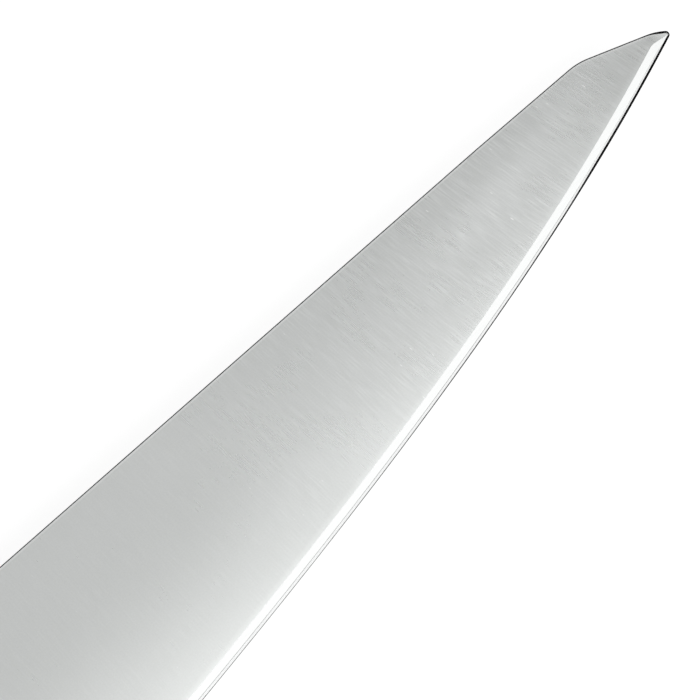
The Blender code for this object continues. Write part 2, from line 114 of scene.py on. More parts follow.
# Broken corner: it starts over a short way at the bolster, is wider round the nose, and takes at most these
# shares of the steel's thickness from either side and of the blade's height
CORNER_FADE_LENGTH = 0.003
NOSE_CORNER_LENGTH = 0.0035
NOSE_CORNER_SWELL = 1.6
MOST_CORNER_SHARE = 0.45
MOST_CORNER_DEPTH = 0.4

# How far in the dark line of painted shade round the nose reaches
NOSE_SHADE_LINE_WIDTH = 0.00027

# Share of its width that the line between the bevels has, by the distance back from the tip
CREASE_SHARES = [(0.020, 0.4), (0.045, 1.0)]

# Whetted line: its width as a share of that at the tip, and where it has the heel's, both by the share of the
# blade's length back from the tip, and the most it takes of the way up to the shoulder
BURR_SHARES = [(0.14, 1.0), (0.22, 0.65), (0.32, 0.5)]
BURR_HEEL_PLACE = 0.6
MOST_BURR_SHARE = 0.8

# How far the edge stays over the left face at least
LEAST_EDGE_HEIGHT = 0.00001

# Rings along the blade: how many, the digits their places are given in, how near each other they come, and
# the step that the outline's slope is measured with
BLADE_STATIONS = 96
BLADE_DIGITS = 7
LEAST_SPACING = 4e-6
SLOPE_STEP = 2e-5

# The least span to divide by, and the least gap that counts
LEAST_SPAN, LEAST_GAP = 1e-6, 1e-7

# Rows down each ring: the face's upper and lower rows, and the rows of the bevels' shoulder and of the edge
UPPER_ROWS, LOWER_ROWS = 9, 5
SHOULDER_ROW = 1 + UPPER_ROWS + LOWER_ROWS
EDGE_ROW = SHOULDER_ROW + 4

# Finishes after the face's own, their slots, and the slots of the strips from the shoulder down the right
# side and up the left bevel
BEVEL_FINISHES = ("Whetted bevel steel", "Second bevel steel", "Crease steel", "Fine line steel")
MAIN_SLOT, SECOND_SLOT, CREASE_SHADE_SLOT, SHADE_LINE_SLOT = range(1, 5)
STRIP_SLOTS = (MAIN_SLOT, CREASE_SHADE_SLOT, SECOND_SLOT, SHADE_LINE_SLOT, MAIN_SLOT)

# Side view and section of the handle, measured from the bolster's front and below the spine
BOLSTER_RAMP_LENGTH = 0.0095
BOLSTER_FRONT_HALF_WIDTH = 0.0058
GRIP_BELLY = 0.0232
GRIP_BELLY_PLACE = 0.045
GRIP_WAIST = 0.0222
GRIP_WAIST_BEFORE_BUTT = 0.033
GRIP_FLARE = 0.0268
GRIP_BACK_DROP = 0.0042
BUTT_TOP_RADIUS = 0.0095
BUTT_BOTTOM_RADIUS = 0.0070
BUTT_SIDE_RADIUS = 0.0035
GRIP_EDGE_HEIGHT = 0.0065
MOST_GRIP_EDGE_SHARE = 0.9
GRIP_EDGE_FULLNESS = 2.3

# Stations along the handle, the digits their places are given in, and how clear they stay of its ends
FRONT_STEPS, RAMP_STATIONS, GRIP_STATIONS, BUTT_STEPS = 8, 20, 44, 22
GRIP_DIGITS = 6
CLEAR_OF_START, CLEAR_OF_END = 5e-5, 1e-6

# Share of its even step down that the tang's second row keeps
TANG_CORNER_SHARE = 0.1

# Rivets: the head's broken rim and the steps of its dome, how far tube, bore and pin stop short of what they
# meet, and how far the cutter for the bores stands out
HEAD_CHAMFER = 0.00012
DOME_STEPS = 6
TUBE_STOP, BORE_STOP, PIN_STOP = 0.0015, 0.0020, 0.0010
OVERCUT = 0.001

# What is welded, and what is shaded as a sharp edge, on lofted and on turned pieces
WELD = 4e-7
LOFT_CORNER = math.radians(38)
TURNED_CORNER = math.radians(30)


def length(name, description, default):
    return FloatProperty(
        name=name, description=description, default=default, min=0.0, unit="LENGTH", precision=5
    )


def angle(name, description, degrees):
    return FloatProperty(
        name=name, description=description, default=math.radians(degrees), subtype="ANGLE"
    )


def share(name, description, default):
    return FloatProperty(
        name=name, description=description, default=default, min=0.0, max=1.0, subtype="FACTOR"
    )


def colour(name, description, default):
    return FloatVectorProperty(
        name=name, description=description, default=default, size=3, min=0.0, max=1.0, subtype="COLOR"
    )


def brightness(name, description, default):
    return FloatProperty(name=name, description=description, default=default)


class BladeSizes(bpy.types.PropertyGroup):
    """How the blade is ground."""

    blade_length: length("Blade length", "From the heel to the tip", 0.150)
    spine_thickness: length("Spine thickness", "Thickness of the spine at the heel, and of the tang", 0.0030)
    tip_thickness: length("Tip thickness", "Thickness of the spine line at the tip", 0.0008)
    left_lean: share("Left face lean", "Rise of the left face for each unit below the spine", 0.0185)
    crown: share("Crown", "How much of the right face's fall is drawn down towards the bevel", 0.45)
    crown_fade: length("Crown fade", "How far from the tip the crown starts to flatten", 0.030)
    bevel_width: length("Bevel width", "Width of the main bevel", 0.00123)
    bevel_angle: angle("Bevel angle", "Slope of the main bevel", 13.0)
    second_width: length("Second bevel width", "Width of the bevel next to the edge", 0.00062)
    second_angle: angle("Second bevel angle", "Slope of the second bevel", 23.0)
    # The line between the bevels is drawn darker with painted shade
    crease_width: length("Crease width", "Width of the burnished line between the bevels", 0.00008)
    left_width: length("Left bevel width", "Width of the bevel on the left face", 0.0005)
    left_angle: angle("Left bevel angle", "Slope of the bevel on the left face", 14.0)
    fade_length: length("Bevel fade", "How far from the tip the bevels start to narrow", 0.0034)
    fade_share: share("Bevel at the tip", "Share of their width that the bevels keep at the tip", 0.1)
    burr_tip: length("Whetted line at the tip", "Width of the steep line along the edge there", 0.00038)
    burr_heel: length("Whetted line at the heel", "Width of the steep line along the edge there", 0.00013)
    burr_angle: angle("Whetted line angle", "Slope of the whetted line", 38.0)
    corner_width: length("Broken corner", "Width of the small bevel along the spine's corners", 0.00018)
    corner_angle: angle("Broken corner angle", "Slope of that small bevel", 24.0)
    # The brighter steel by the rims is a painted highlight; these widths also space the face's rows
    spine_rim: length("Rim by the spine", "Width of the brighter steel by the broken corner", 0.00040)
    shoulder_rim: length("Rim by the bevel", "Width of the brighter steel above the main bevel", 0.0010)


class HandleSizes(bpy.types.PropertyGroup):
    """How the bolsters, scales and rivets are fitted."""

    seam: length("Seam", "Gap between the handle's pieces", 0.00003)
    front_round: length("Bolster round", "Radius round the bolster's front face", 0.0008)
    edge_steps: IntProperty(
        name="Edge steps", description="Steps round each edge of the handle", default=14, min=4
    )
    head_radius: length("Rivet head radius", "Radius of a rivet's head", 0.0040)
    head_thickness: length("Rivet head thickness", "Thickness of a rivet's head", 0.0015)
    head_crown: length("Rivet head crown", "How far a rivet's head is domed", 0.00006)
    tube_radius: length("Rivet tube radius", "Radius of a rivet's tube", 0.0025)
    pin_radius: length("Rivet pin radius", "Radius of a rivet's pin", 0.0013)
    turned_steps: IntProperty(
        name="Turned steps", description="Steps round a turned piece", default=96, min=24
    )


class KnifeFinishes(bpy.types.PropertyGroup):
    """Colours and finishes of the knife."""

    steel: colour("Blade steel", "Colour of the ground steel", (0.565, 0.578, 0.569))
    steel_light: colour("Light lines", "Colour of the lighter ground lines", (0.657, 0.671, 0.663))
    # Painted highlight: the brighter steel by the spine's corner and above the shoulder
    rim_highlight: colour("Painted rim highlight", "Colour of the steel rubbed bright by the rims", (0.780, 0.795, 0.785))
    # Painted glints on the nicks
    nick_glint: colour("Nicks", "Colour of the bright nicks in the face", (0.95, 0.95, 0.95))
    steel_roughness: share("Blade roughness", "Roughness of the ground faces", 0.28)
    bevel_steel: colour("Bevel steel", "Colour of the whetted bevels", (0.530, 0.537, 0.533))
    second_steel: colour("Second bevel", "Colour of the narrow second bevel", (0.690, 0.698, 0.694))
    # Painted shade: the dark colour of the line between the bevels
    crease_shade: colour("Crease", "Colour of the line between the bevels", (0.300, 0.304, 0.302))
    bevel_roughness: share("Bevel roughness", "Roughness of the whetted bevels", 0.17)
    second_roughness: share("Second roughness", "Roughness of the narrow second bevel", 0.30)
    bolster: colour("Bolster steel", "Colour of the polished bolster", (0.620, 0.620, 0.610))
    bolster_roughness: share("Bolster roughness", "Roughness of the polished bolster", 0.17)
    rivet: colour("Rivet steel", "Colour of the rivets", (0.660, 0.650, 0.620))
    rivet_roughness: share("Rivet roughness", "Roughness of the rivets", 0.22)
    wood: colour("Wood", "Colour of the handle's dark laminate", (0.016, 0.013, 0.011))
    grain: colour("Grain", "Colour of the grain in the laminate", (0.046, 0.033, 0.026))


class StudioSettings(bpy.types.PropertyGroup):
    """Light, floor and camera."""

    overhead: brightness("Overhead light", "Brightness straight above the knife", 0.73)
    walls: brightness("Walls", "Brightness of the studio between lamp and horizon", 0.30)
    horizon: brightness("Horizon", "Brightness of the pale backdrop at the horizon", 0.9)
    key: FloatProperty(
        name="Key lamp", description="Power of the lamp on the edge's side", default=7.3, unit="POWER"
    )
    key_turn: angle("Key lamp's turn", "Turn of the lamp about its middle, nearer overhead at the tip", 13.0)
    floor: colour("Floor", "Colour of the floor", (0.30, 0.30, 0.30))
    floor_glow: brightness("Floor glow", "Light of its own that the camera sees on the floor", 0.86)
    floor_shine: brightness("Floor in the steel", "Light of its own that the steel sees there", 0.35)
    lens: FloatProperty(
        name="Lens", description="Focal length in millimetres", default=200.0, unit="CAMERA"
    )
    frame_width: length("Frame width", "Width of the view at the blade", 0.112)


def clamped(run):
    return min(1.0, max(0.0, run))


def ease(run):
    """0 to 1 with level ends, for a run from 0 to 1."""
    run = clamped(run)
    return run * run * (3 - 2 * run)


def eased_through(place, knots):
    """A smooth line through (place, value) knots, level at each of them."""
    if place <= knots[0][0]:
        return knots[0][1]
    for (start, low), (end, high) in zip(knots, knots[1:]):
        if place <= end:
            return low + (high - low) * ease((place - start) / (end - start))
    return knots[-1][1]


def slanted(slope):
    """How much longer a line of this slope is than its run."""
    return math.sqrt(1 + slope * slope)


def round_inset(depth, radius):
    """How far a surface draws in at this depth before a face, where a quarter round ends it."""
    if depth >= radius:
        return 0.0
    return radius - math.sqrt(max(0.0, radius * radius - (radius - depth) ** 2))


def quarter_depths(radius, steps):
    """Depths that step evenly round a quarter circle, from its face to its far end."""
    return [radius * (1 - math.cos(math.pi / 2 * i / steps)) for i in range(steps + 1)]


def arc_on(points, heading, radius, turn, steps):
    """Carries a path on round an arc, to the left where turn is positive, and gives its new heading."""
    side = math.copysign(radius, turn)
    x, y = points[-1]
    centre_x, centre_y = x - side * math.sin(heading), y + side * math.cos(heading)
    for step in range(1, steps + 1):
        way = heading + turn * step / steps
        points.append((centre_x + side * math.sin(way), centre_y - side * math.cos(way)))
    return heading + turn


def straight_on(points, heading, run, steps):
    """Carries a path straight on."""
    x, y = points[-1]
    for step in range(1, steps + 1):
        reach = run * step / steps
        points.append((x + reach * math.cos(heading), y + reach * math.sin(heading)))


def tip_outline():
    """The path from the straight spine to the tip and round it, down to where the edge starts."""
    edge_height = SPINE_Y - EDGE_START_DROP
    centre_y = edge_height + TIP_ROUND * (1 / math.cos(EDGE_TIP_SLOPE) - math.tan(EDGE_TIP_SLOPE))
    corner_x, corner_y = TIP_X - CLIP_LENGTH, SPINE_Y - SPINE_FALL
    run, fall = TIP_X - TIP_ROUND - corner_x, corner_y - centre_y
    reach = math.hypot(run, fall)
    depth = TIP_ROUND + NOSE_DEPTH
    clip_slope = math.atan2(fall, run) - math.asin(depth / reach)
    nose_turn = math.acos((NOSE_RADIUS - depth) / (NOSE_RADIUS - TIP_ROUND))
    nose_start = math.sqrt(reach**2 - depth**2) - (NOSE_RADIUS - TIP_ROUND) * math.sin(nose_turn)
    spine_slope = math.atan2(SPINE_FALL, SPINE_FALL_LENGTH)
    corner_turn = clip_slope - spine_slope
    corner_reach = CLIP_CORNER_RADIUS * math.tan(corner_turn / 2)
    points = [(corner_x - SPINE_FALL_LENGTH, SPINE_Y)]
    spine_run = math.hypot(SPINE_FALL_LENGTH, SPINE_FALL) - corner_reach
    straight_on(points, -spine_slope, spine_run, SPINE_STEPS)
    heading = arc_on(points, -spine_slope, CLIP_CORNER_RADIUS, -corner_turn, CORNER_STEPS)
    straight_on(points, heading, nose_start - corner_reach, CLIP_STEPS)
    heading = arc_on(points, heading, NOSE_RADIUS, -nose_turn, NOSE_STEPS)
    arc_on(points, heading, TIP_ROUND, -math.pi / 2 - heading, TIP_STEPS)
    arc_on(points, -math.pi / 2, TIP_ROUND, EDGE_TIP_SLOPE - math.pi / 2, UNDER_TIP_STEPS)
    return points


class GroundBlade:
    """The ground surfaces of the blade, from the sizes in the panel. Heights are over the middle plane."""

    def __init__(self, sizes):
        self.sizes = sizes
        self.heel_x = TIP_X - sizes.blade_length
        self.tang_half = sizes.spine_thickness / 2
        start = Vector((TIP_X, SPINE_Y - EDGE_START_DROP))
        end = Vector((self.heel_x, HEEL_Y))
        tip_way = Vector((math.cos(EDGE_TIP_SLOPE), math.sin(EDGE_TIP_SLOPE)))
        heel_way = Vector((math.cos(EDGE_HEEL_SLOPE), math.sin(EDGE_HEEL_SLOPE)))
        near = start - tip_way * EDGE_TIP_PULL * sizes.blade_length
        far = end + heel_way * EDGE_HEEL_PULL * sizes.blade_length
        curve = np.array([p[:2] for p in interpolate_bezier(start, near, far, end, EDGE_SAMPLES)])
        behind = np.array(end - heel_way * EDGE_BEHIND_HEEL)
        self.edge_x, self.edge_y = np.vstack([behind, curve[::-1]]).T
        self.edge_rate = np.gradient(self.edge_y, self.edge_x)
        self.outline = np.array(tip_outline())
        turn = int(np.argmax(self.outline[:, 0]))
        self.upper = self.outline[: turn + 1]
        self.lower = self.outline[turn:][::-1]

    def edge(self, x):
        """(y, slope) of the cutting edge."""
        return tuple(float(np.interp(x, self.edge_x, values)) for values in (self.edge_y, self.edge_rate))

    def top(self, x):
        return float(np.interp(x, *self.upper.T))

    def bottom(self, x):
        """The edge, or the round below the tip."""
        edge_y, _ = self.edge(x)
        if x <= self.lower[0][0]:
            return edge_y
        return max(edge_y, float(np.interp(x, *self.lower.T)))

    def below_outline(self, x, y):
        """How far a place lies inside the spine, the clip or the tip's round."""
        if x < self.outline[0][0] - STRAIGHT_SPINE_START:
            return SPINE_Y - y
        starts, ends = self.outline[:-1], self.outline[1:]
        ways = ends - starts
        offsets = np.array((x, y)) - starts
        runs = np.clip((offsets * ways).sum(1) / (ways * ways).sum(1), 0, 1)
        return float(np.hypot(*(offsets - runs[:, None] * ways).T).min())

    def half_thickness(self, x):
        s = self.sizes
        run = clamped((x - self.heel_x) / s.blade_length)
        return (s.spine_thickness + (s.tip_thickness - s.spine_thickness) * run) / 2

    def ground(self, x):
        """0 at the bolster, where the steel is still flat, to 1 from the heel on."""
        return ease((x - BOLSTER_FRONT_X) / (self.heel_x - BOLSTER_FRONT_X))

    def burr_width(self, x):
        """Width of the whetted line, which fades from the tip to the heel."""
        s = self.sizes
        knots = [(place, s.burr_tip * part) for place, part in BURR_SHARES]
        return eased_through((TIP_X - x) / s.blade_length, knots + [(BURR_HEEL_PLACE, s.burr_heel)])

    def lines(self, x):
        """Lines along the edge as (y, height): shoulder, second bevel, crease, whetted line, edge."""
        s = self.sizes
        edge_y, slope = self.edge(x)
        longer = slanted(slope)
        width = s.fade_share + (1 - s.fade_share) * clamped((TIP_X - x) / s.fade_length)
        left_z = self.left_plane(x, edge_y)
        edge_z = left_z + s.left_width * math.tan(s.left_angle)
        second_y = edge_y + s.second_width * longer * width
        second = (second_y, edge_z + s.second_width * math.tan(s.second_angle) * width)
        rise = s.bevel_width * math.tan(s.bevel_angle) * width
        shoulder = (second_y + s.bevel_width * longer * width, second[1] + rise)
        burr_width = min(self.burr_width(x), MOST_BURR_SHARE * (shoulder[0] - edge_y) / longer)
        burr_y = edge_y + burr_width * longer
        burr = (burr_y, self.between(burr_y, [shoulder, second, (edge_y, edge_z)]))
        edge_z = max(left_z + LEAST_EDGE_HEIGHT, burr[1] - burr_width * math.tan(s.burr_angle))
        second_y = max(second_y, burr_y)
        crease_share = eased_through(TIP_X - x, CREASE_SHARES)
        crease_y = max(second_y - s.crease_width * crease_share * width, burr_y)
        upper = [shoulder, second, burr]
        middle = [(y, self.between(y, upper)) for y in (second_y, crease_y)]
        return [shoulder, *middle, burr, (edge_y, edge_z)]

    @staticmethod
    def between(y, knots):
        """Height at y on the line through (y, height) knots that go down."""
        rising = knots[::-1]
        return float(np.interp(y, [k[0] for k in rising], [k[1] for k in rising]))

    def left_plane(self, x, y):
        return -self.half_thickness(x) + self.sizes.left_lean * (SPINE_Y - y)

    def right_height(self, x, y):
        lines = self.lines(x)
        half = self.half_thickness(x)
        if y <= lines[0][0]:
            z = self.between(y, lines)
        else:
            run = (SPINE_Y - y) / (SPINE_Y - lines[0][0])
            crown = self.sizes.crown * clamped((TIP_X - x) / self.sizes.crown_fade)
            z = half - (half - lines[0][1]) * ((1 - crown) * run + crown * run**3)
        return self.tang_half + (z - self.tang_half) * self.ground(x)

    def left_height(self, x, y):
        edge_y, edge_z = self.lines(x)[-1]
        bevel_y = self.left_bevel_y(x)
        z = self.left_plane(x, y)
        if y < bevel_y:
            start = self.left_plane(x, bevel_y)
            z = start + (edge_z - start) * (bevel_y - y) / (bevel_y - edge_y)
        return -self.tang_half + (z + self.tang_half) * self.ground(x)

    def left_bevel_y(self, x):
        edge_y, slope = self.edge(x)
        return edge_y + self.sizes.left_width * slanted(slope)

    def corner_width(self, x, y):
        """Width of the broken corner by this place: more round the nose, and none at the bolster."""
        thickness = self.right_height(x, y) - self.left_height(x, y)
        fade = ease((x - BOLSTER_FRONT_X) / CORNER_FADE_LENGTH)
        swell = 1 + NOSE_CORNER_SWELL * (1 - ease((TIP_X - x) / NOSE_CORNER_LENGTH))
        most = MOST_CORNER_SHARE * max(0.0, thickness) / math.tan(self.sizes.corner_angle)
        return min(self.sizes.corner_width * fade * swell, most)

    def on_nose_shade_line(self, x, y):
        """True just inside the nose's outline, all round, where its dark line of painted shade goes."""
        return x > TIP_X - 2 * TIP_ROUND and self.below_outline(x, y) < NOSE_SHADE_LINE_WIDTH

    def point(self, x, y, inside, side):
        """The point of the right face, side 1, or the left one, side -1, this far inside the outline."""
        height = self.right_height(x, y) if side > 0 else self.left_height(x, y)
        drop = max(0.0, self.corner_width(x, y) - inside) * math.tan(self.sizes.corner_angle)
        return Vector((x, y, MIDDLE_Z + height - side * drop))


def row_depths(blade, x, top, bottom, break_share):
    """How far below the top the right side's rows are: broken corner, face with its rims, edge's lines."""
    rate = (blade.top(x + SLOPE_STEP) - blade.top(x - SLOPE_STEP)) / (2 * SLOPE_STEP)
    slant = slanted(rate)
    start = min(blade.corner_width(x, top) * slant, MOST_CORNER_DEPTH * (top - bottom))
    lift = bottom - blade.edge(x)[0]
    lines = [max(0.0, top - y - lift) for y, _ in blade.lines(x)]
    shoulder = max(start, lines[0])
    span = max(shoulder - start, LEAST_SPAN)
    upper_step, lower_step = break_share / UPPER_ROWS, (1 - break_share) / LOWER_ROWS
    shares = [upper_step * i for i in range(1, UPPER_ROWS + 1)]
    shares += [break_share + lower_step * i for i in range(1, LOWER_ROWS + 1)]
    shares[0] = min(upper_step, blade.sizes.spine_rim * slant / span)
    shares[-2] = 1 - min(lower_step, blade.sizes.shoulder_rim / span)
    depths = [0.0, start] + [start + (shoulder - start) * s for s in shares] + lines[1:]
    return [min(depth, top - bottom) for depth in depths]


def loft(rings):
    """A mesh through rings of points, its layer "row" with each corner's number, and its last edges."""
    bm = bmesh.new()
    row = bm.verts.layers.int.new("row")
    first = bmesh.ops.create_circle(bm, segments=len(rings[0]), radius=1.0)["verts"]
    for index, (vert, point) in enumerate(zip(first, rings[0])):
        vert[row] = index
        vert.co = point
    edges = list(bm.edges)
    for points in rings[1:]:
        edges = loft_on(bm, edges, row, points)
    return bm, row, edges


def loft_on(bm, edges, row, points):
    """Extrudes the ring to its next station, where a corner goes to the point of its own number."""
    made = bmesh.ops.extrude_edge_only(bm, edges=edges)["geom"]
    verts = {v for v in made if isinstance(v, bmesh.types.BMVert)}
    for vert in verts:
        vert.co = points[vert[row]]
    return [e for e in made if isinstance(e, bmesh.types.BMEdge) and verts.issuperset(e.verts)]


def finish_solid(bm, hard=lambda edge: False):
    """Closes the open ends, welds what coincides, and shades it round between its hard edges."""
    body = list(bm.faces)
    caps = bmesh.ops.holes_fill(bm, edges=list(bm.edges), sides=0)["faces"]
    for face in body:
        face.smooth = True
    for face in caps:
        face.smooth = False
    for edge in bm.edges:
        edge.smooth = not hard(edge)
    bmesh.ops.remove_doubles(bm, verts=list(bm.verts), dist=WELD)
    bmesh.ops.recalc_face_normals(bm, faces=list(bm.faces))
    for edge in bm.edges:
        if edge.is_manifold and edge.calc_face_angle(0.0) > LOFT_CORNER:
            edge.smooth = False


def new_piece(name, bm, *materials):
    mesh = bpy.data.meshes.new(name)
    bm.to_mesh(mesh)
    bm.free()
    for material in materials:
        mesh.materials.append(material)
    piece = bpy.data.objects.new(name, mesh)
    bpy.context.scene.collection.objects.link(piece)
    return piece


def place_piece(piece, node):
    """The piece stands for its CAD node and moves with the knife."""
    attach(piece, "root")
    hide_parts(node)


def blade_ring(blade, station, break_share):
    """One ring round the blade: down the right side, over the edge, and up the left side."""
    x_top, lean = station
    top, bottom = blade.top(x_top), blade.bottom(x_top)
    right_rows = [top - depth for depth in row_depths(blade, x_top, top, bottom, break_share)]
    left_rows = right_rows[: SHOULDER_ROW + 1] + [max(bottom, blade.left_bevel_y(x_top))]

    def face_points(rows, side):
        places = [(x_top - lean * (y - bottom), y) for y in rows]
        return [blade.point(x, y, blade.below_outline(x, y), side) for x, y in places]

    right, left = face_points(right_rows, 1), face_points(left_rows, -1)
    if bottom > blade.edge(x_top)[0] + LEAST_GAP:
        right[-1].z = (right[-2].z + left[-1].z) / 2
    return right + left[::-1]


def blade_stations(blade):
    """(x, lean) of each ring from the tip to the heel. The last ones lean back with the heel."""
    places = [x for x, _ in blade.upper]
    places += list(np.linspace(blade.upper[0][0], blade.heel_x, BLADE_STATIONS))
    ordered = sorted({round(x, BLADE_DIGITS) for x in places}, reverse=True)
    kept = [ordered[0]]
    for x in ordered[1:]:
        if kept[-1] - x > LEAST_SPACING:
            kept.append(x)
    lean_start = blade.heel_x + HEEL_LEAN_REACH
    return [(x, math.tan(HEEL_LEAN) * ease((lean_start - x) / HEEL_LEAN_REACH)) for x in kept]


def grind_blade_mesh(blade, grip):
    """The blade with its tang: rings from the tip to the heel, whose upper rows go on over the choil."""
    heel_wall = SPINE_Y - HEEL_Y - NECK_HEIGHT - CHOIL_RADIUS * (1 - math.sin(HEEL_LEAN))
    shoulder_y = blade.lines(blade.heel_x)[0][0]
    face_top = SPINE_Y - blade.sizes.corner_width
    break_share = (face_top - HEEL_Y - heel_wall) / (face_top - shoulder_y)
    rings = [blade_ring(blade, station, break_share) for station in blade_stations(blade)]
    bm, row, edges = loft(rings)

    last_right = 1 + UPPER_ROWS
    count = len(rings[0])
    first_left = count - 1 - last_right
    kept = {v for e in edges for v in e.verts if v[row] <= last_right or v[row] >= first_left}
    ends = [v for v in kept if v[row] in (last_right, first_left)]
    upper = [e for e in edges if kept.issuperset(e.verts)] + [bm.edges.new(ends)]
    for points in neck_rings(blade, rings[-1], last_right) + tang_rings(blade, grip, last_right, count):
        upper = loft_on(bm, upper, row, points)

    # The broken corners, the whetted line and the nose's outline take the line steel, whose dark colour is
    # painted shade
    slots = {0: SHADE_LINE_SLOT, count - 2: SHADE_LINE_SLOT}
    slots.update(zip(range(SHOULDER_ROW, EDGE_ROW + 1), STRIP_SLOTS))
    for face in bm.faces:
        rows = sorted({vert[row] for vert in face.verts})
        if len(rows) == 2 and rows[1] == rows[0] + 1:
            face.material_index = slots.get(rows[0], 0)
        if rows[0] <= EDGE_ROW and blade.on_nose_shade_line(*face.calc_center_median().xy):
            face.material_index = SHADE_LINE_SLOT

    hard_rows = {0, 1, count - 2, count - 1, *range(SHOULDER_ROW, EDGE_ROW + 2)}

    def on_hard_line(edge):
        first, second = edge.verts
        return first[row] == second[row] and first[row] in hard_rows

    finish_solid(bm, on_hard_line)
    return bm


def neck_rings(blade, heel_ring, last_right):
    """Rings from the heel's back round the choil to the bolster, for the rows over the choil."""
    start, heel_top = heel_ring[last_right], heel_ring[0]
    path = [(start.x, start.y)]
    heading = math.pi / 2 + HEEL_LEAN
    arc_on(path, heading, CHOIL_RADIUS, math.pi - heading, CHOIL_STEPS)
    path.append((BOLSTER_FRONT_X, path[-1][1]))
    rings = []
    for step, (bottom_x, bottom_y) in enumerate(path[1:], start=1):
        top_x = heel_top.x + (BOLSTER_FRONT_X - heel_top.x) * step / (len(path) - 1)
        ring = {}
        for index in range(last_right + 1):
            foot = bottom_y if index <= 1 else start.y
            share_down = (SPINE_Y - heel_ring[index].y) / (SPINE_Y - foot)
            x = top_x + (bottom_x - top_x) * share_down
            y = SPINE_Y + (bottom_y - SPINE_Y) * share_down
            for corner, side in ((index, 1), (len(heel_ring) - 1 - index, -1)):
                ring[corner] = blade.point(x, y, SPINE_Y - y, side)
        rings.append(ring)
    return rings


class Grip:
    """The outer form of the handle, h being the distance behind the bolster's front."""

    def __init__(self, sizes):
        self.sizes = sizes

    def top(self, h):
        return SPINE_Y - eased_through(h, [(0.0, 0.0), (HANDLE_LENGTH, GRIP_BACK_DROP)])

    def bottom(self, h):
        knots = [
            (0.0, NECK_HEIGHT),
            (GRIP_BELLY_PLACE, GRIP_BELLY),
            (HANDLE_LENGTH - GRIP_WAIST_BEFORE_BUTT, GRIP_WAIST),
            (HANDLE_LENGTH, GRIP_FLARE),
        ]
        return SPINE_Y - eased_through(h, knots)

    def sides(self, h):
        """(top, bottom, half width) with the butt's rounds."""
        left = HANDLE_LENGTH - h
        top = self.top(h) - round_inset(left, BUTT_TOP_RADIUS)
        bottom = self.bottom(h) + round_inset(left, BUTT_BOTTOM_RADIUS)
        full = KNIFE_TOP_Z - MIDDLE_Z
        half_width = eased_through(h, [(0.0, BOLSTER_FRONT_HALF_WIDTH), (BOLSTER_RAMP_LENGTH, full)])
        return top, bottom, half_width - round_inset(left, BUTT_SIDE_RADIUS)

    def half_ring(self, h, inner, side):
        """The section of one half, with its flat back at this distance from the middle plane."""
        top, bottom, half_width = self.sides(h)
        inset = round_inset(h, self.sizes.front_round)
        half_height = (top - bottom) / 2 - inset
        half_width -= inset
        edge_height = min(GRIP_EDGE_HEIGHT, MOST_GRIP_EDGE_SHARE * half_height)
        power = 2 / GRIP_EDGE_FULLNESS
        furthest = math.acos((inner / half_width) ** (1 / power))
        steps = self.sizes.edge_steps
        quarter = []
        for step in range(steps + 1):
            way = furthest * (1 - step / steps)
            rise = half_height - edge_height + edge_height * math.sin(way) ** power
            quarter.append((rise, half_width * math.cos(way) ** power))
        section = quarter + [(-rise, out) for rise, out in reversed(quarter)]
        x, middle = BOLSTER_FRONT_X - h, (top + bottom) / 2
        return [Vector((x, middle + rise, MIDDLE_Z + side * out)) for rise, out in section]

    def places(self, start, end):
        """Stations from start to end, close together where the form turns."""
        places = quarter_depths(self.sizes.front_round, FRONT_STEPS)
        places += list(np.linspace(0, BOLSTER_RAMP_LENGTH, RAMP_STATIONS))
        places += list(np.linspace(BOLSTER_RAMP_LENGTH, HANDLE_LENGTH - BUTT_TOP_RADIUS, GRIP_STATIONS))
        places += [HANDLE_LENGTH - depth for depth in quarter_depths(BUTT_TOP_RADIUS, BUTT_STEPS)]
        inside = {round(p, GRIP_DIGITS) for p in places if start + CLEAR_OF_START < p < end - CLEAR_OF_END}
        return [start] + sorted(inside) + [end]


def tang_rings(blade, grip, last_right, count):
    """Rings along the tang, flush with the back and belly of the handle."""
    rings = []
    for h in grip.places(0.0, HANDLE_LENGTH)[1:]:
        top, bottom, _ = grip.sides(h)
        ring = {}
        for index in range(last_right + 1):
            share_down = index / last_right * (TANG_CORNER_SHARE if index == 1 else 1)
            y = top + (bottom - top) * share_down
            for corner, side in ((index, 1), (count - 1 - index, -1)):
                ring[corner] = Vector((BOLSTER_FRONT_X - h, y, MIDDLE_Z + side * blade.tang_half))
        rings.append(ring)
    return rings


def grip_half(grip, start, end, side, tang_half):
    """One bolster half or scale."""
    inner = tang_half + grip.sizes.seam
    bm, _, _ = loft([grip.half_ring(h, inner, side) for h in grip.places(start, end)])
    finish_solid(bm)
    return bm


def turned(profile, place, steps):
    """A (radius, z) profile turned about an upright axis."""
    bm = bmesh.new()
    points = [bm.verts.new((radius, 0.0, z)) for radius, z in profile]
    edges = [bm.edges.new(pair) for pair in zip(points, points[1:])]
    whole = {"cent": (0, 0, 0), "axis": (0, 0, 1), "angle": 2 * math.pi, "use_merge": True}
    bmesh.ops.spin(bm, geom=points + edges, steps=steps, **whole)
    bmesh.ops.remove_doubles(bm, verts=list(bm.verts), dist=WELD)
    bmesh.ops.recalc_face_normals(bm, faces=list(bm.faces))
    bmesh.ops.translate(bm, verts=list(bm.verts), vec=(*place, 0.0))
    for face in bm.faces:
        face.smooth = True
    for edge in bm.edges:
        edge.smooth = edge.calc_face_angle(0.0) < TURNED_CORNER
    return bm


def rivet_place(name):
    low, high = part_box(f"{name}_rivet_female")
    return ((low.x + high.x) / 2, (low.y + high.y) / 2)


def bore_cutter(sizes, place):
    """What is drilled out for one rivet: a seat for each head and a hole for the tube."""
    seat = sizes.head_thickness + sizes.seam
    head, tube = sizes.head_radius + sizes.seam, sizes.tube_radius + sizes.seam
    above, below = KNIFE_TOP_Z + OVERCUT, -OVERCUT
    profile = [(0.0, above), (head, above), (head, KNIFE_TOP_Z - seat), (tube, KNIFE_TOP_Z - seat)]
    profile += [(tube, seat), (head, seat), (head, below), (0.0, below)]
    return turned(profile, place, sizes.turned_steps)


